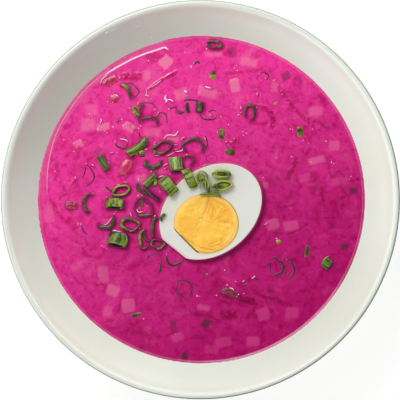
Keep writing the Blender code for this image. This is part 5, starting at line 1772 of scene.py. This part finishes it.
@dataclass
class Flecks:
    """Beads of liquid and flecks of yoghurt on the surface, and folds, painted white as highlights."""

    flecks: tuple = FLECKS
    flatness: float = 0.5
    shrink: float = 0.65
    painted_glint: float = 0.6
    ripples: tuple = GLEAMS + CREST
    ripple_width: float = 1.15

    def ripple(self, shape: bmesh.types.BMesh, stroke: Stroke) -> list[bmesh.types.BMVert]:
        """Draw a thin fold of the surface that tapers to its ends."""
        last = len(stroke.path) - 1
        rows = [(x, y, stroke.width * self.ripple_width * (1.0 if 0 < i < last else 0.6))
                for i, (x, y) in enumerate(stroke.path)]
        loops = sweep_wall(shape, soft_curve(rows, False, 4), False, 0.05 + 0.3 * stroke.width, -0.3, 1.0, 8)
        return [corner for ring in loops for corner in ring]

    def build(self, finish: bpy.types.Material) -> bpy.types.Object:
        """Return all the flecks and folds as one piece."""
        shape = bmesh.new()
        painted_glint = shape.verts.layers.float.new("painted_glint")
        for index, fleck in enumerate(self.flecks):
            made = bmesh.ops.create_icosphere(
                shape, subdivisions=2, radius=fleck.size * self.shrink * 0.5 * MM)["verts"]
            stretch = 0.75 + 0.55 * ((index * 7) % 5) / 4.0
            bmesh.ops.scale(shape, vec=(stretch, 1.0 / stretch, self.flatness), verts=made)
            bmesh.ops.rotate(shape, matrix=Matrix.Rotation(index * 2.4, 3, "Z"), verts=made)
            for corner in made:
                corner[painted_glint] = fleck.painted_glint * self.painted_glint
            bmesh.ops.translate(shape, vec=(fleck.x * MM, fleck.y * MM, LEVEL + 0.1 * MM), verts=made)
        for stroke in self.ripples:
            for corner in self.ripple(shape, stroke):
                # Painted highlight: each fold is painted white by its strength.
                corner[painted_glint] = stroke.strength
        return finish_piece("flecks", shape, finish)


# ------------------------------------------------------------ room and camera


@dataclass
class Studio:
    """Pale floor, soft light from the upper left, and the camera overhead."""

    camera_height: float = 0.85
    camera_aside: float = 0.025
    half_view: float = 0.0997
    light_turn: float = 122.0
    light_height: float = 50.0
    light_distance: float = 0.75
    soft_power: float = 2.2
    soft_size: float = 0.5
    strip_power: float = 0.55
    strip_long: float = 0.36
    strip_wide: float = 0.05
    side_glow: float = 4.8
    side_panes: tuple = ((62.0, 42.0, 0.86), (212.0, 50.0, 0.86))
    ring_glow: float = 1.3

    def floor(self) -> None:
        """Lay the pale floor."""
        shape = bmesh.new()
        bmesh.ops.create_grid(shape, x_segments=8, y_segments=8, size=2.0)
        mesh = bpy.data.meshes.new("floor")
        shape.to_mesh(mesh)
        shape.free()
        g = Graph("floor")
        g.surface(Base_Color=(0.62, 0.62, 0.62, 1.0), Roughness=0.8, Emission_Color=(1.0, 1.0, 1.0, 1.0),
                  Emission_Strength=0.5)
        mesh.materials.append(g.material)
        ground = bpy.data.objects.new("floor", mesh)
        bpy.context.scene.collection.objects.link(ground)

    def lamp(self, name: str, power: float, long: float, wide: float) -> None:
        """Hang one rectangular light at the upper left, facing the bowl."""
        data = bpy.data.lights.new(name, "AREA")
        data.shape = "RECTANGLE"
        data.energy = power
        data.size = long
        data.size_y = wide
        lamp = bpy.data.objects.new(name, data)
        bpy.context.scene.collection.objects.link(lamp)
        turn, up = math.radians(self.light_turn), math.radians(self.light_height)
        away = Vector((math.cos(turn) * math.cos(up), math.sin(turn) * math.cos(up), math.sin(up)))
        lamp.location = Vector((0, 0, LEVEL)) + away * self.light_distance
        across = Vector((-math.sin(turn), math.cos(turn), 0.0))
        frame_axes = Matrix((across, away.cross(across), away)).transposed()
        lamp.rotation_euler = frame_axes.to_euler()

    def pane(self, g: Graph, heading: Wire, towards: float, half: float) -> Wire:
        """Return 1 over a stretch of the horizon and 0 elsewhere, with soft ends."""
        around = g.math("PINGPONG", heading - (math.radians(towards) - math.tau), math.pi)
        return g.step(around, math.radians(half + 14.0), math.radians(half - 14.0))

    def world(self) -> None:
        """Light the room with two low panes and a ring higher up."""
        g = Graph("room", room=True)
        x, y, z = g.parts(g.add("TexCoord", output="Generated"))
        heading = g.math("ARCTAN2", y, x)
        low = g.step(z, 0.40, 0.32) * g.step(z, -0.05, 0.02)
        panes = self.side_glow * 0.12
        for towards, half, share in self.side_panes:
            panes = panes + self.pane(g, heading, towards, half) * (self.side_glow * share)
        ring = g.step(z, 0.62, 0.72) * g.step(z, 0.97, 0.90)
        g.surface(Strength=low * panes + ring * self.ring_glow)
        bpy.context.scene.world = g.material

    def camera(self) -> None:
        """Hang the camera over the bowl."""
        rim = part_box("bowl")[1].z
        data = bpy.data.cameras.new("overhead")
        data.sensor_width = 36.0
        data.lens = 18.0 * self.camera_height / self.half_view
        data.clip_end = 10.0
        camera = bpy.data.objects.new("overhead", data)
        bpy.context.scene.collection.objects.link(camera)
        spot = Vector((self.camera_aside, 0.0, rim + self.camera_height))
        target = Vector((0.0002, -0.0002, rim))
        back = (spot - target).normalized()
        right = Vector((0.0, 1.0, 0.0)).cross(back).normalized()
        camera.location = spot
        camera.rotation_euler = Matrix((right, back.cross(right), back)).transposed().to_euler()
        bpy.context.scene.camera = camera

    def build(self) -> None:
        """Set up the floor, lights, world and camera."""
        self.floor()
        self.lamp("window", self.soft_power, self.soft_size, self.soft_size)
        self.lamp("bright_pane", self.strip_power, self.strip_long, self.strip_wide)
        self.world()
        self.camera()
        bpy.context.scene.view_settings.view_transform = "Standard"


def main() -> None:
    """Build every sub-assembly in order and report it."""
    logging.basicConfig(level=logging.INFO)
    leaf = Leaf().make()
    egg = Egg()
    Bowl().build(Glaze().make())
    Soup().build(Broth().make(), egg)
    egg.build_white(EggWhite().make(egg))
    egg.build_yolk(Yolk().make())
    SpringOnion().build(leaf)
    BeetPieces().build(Beet().make())
    Flecks().build(Droplet().make())
    Studio().build()


if __name__ == "__main__":
    main()
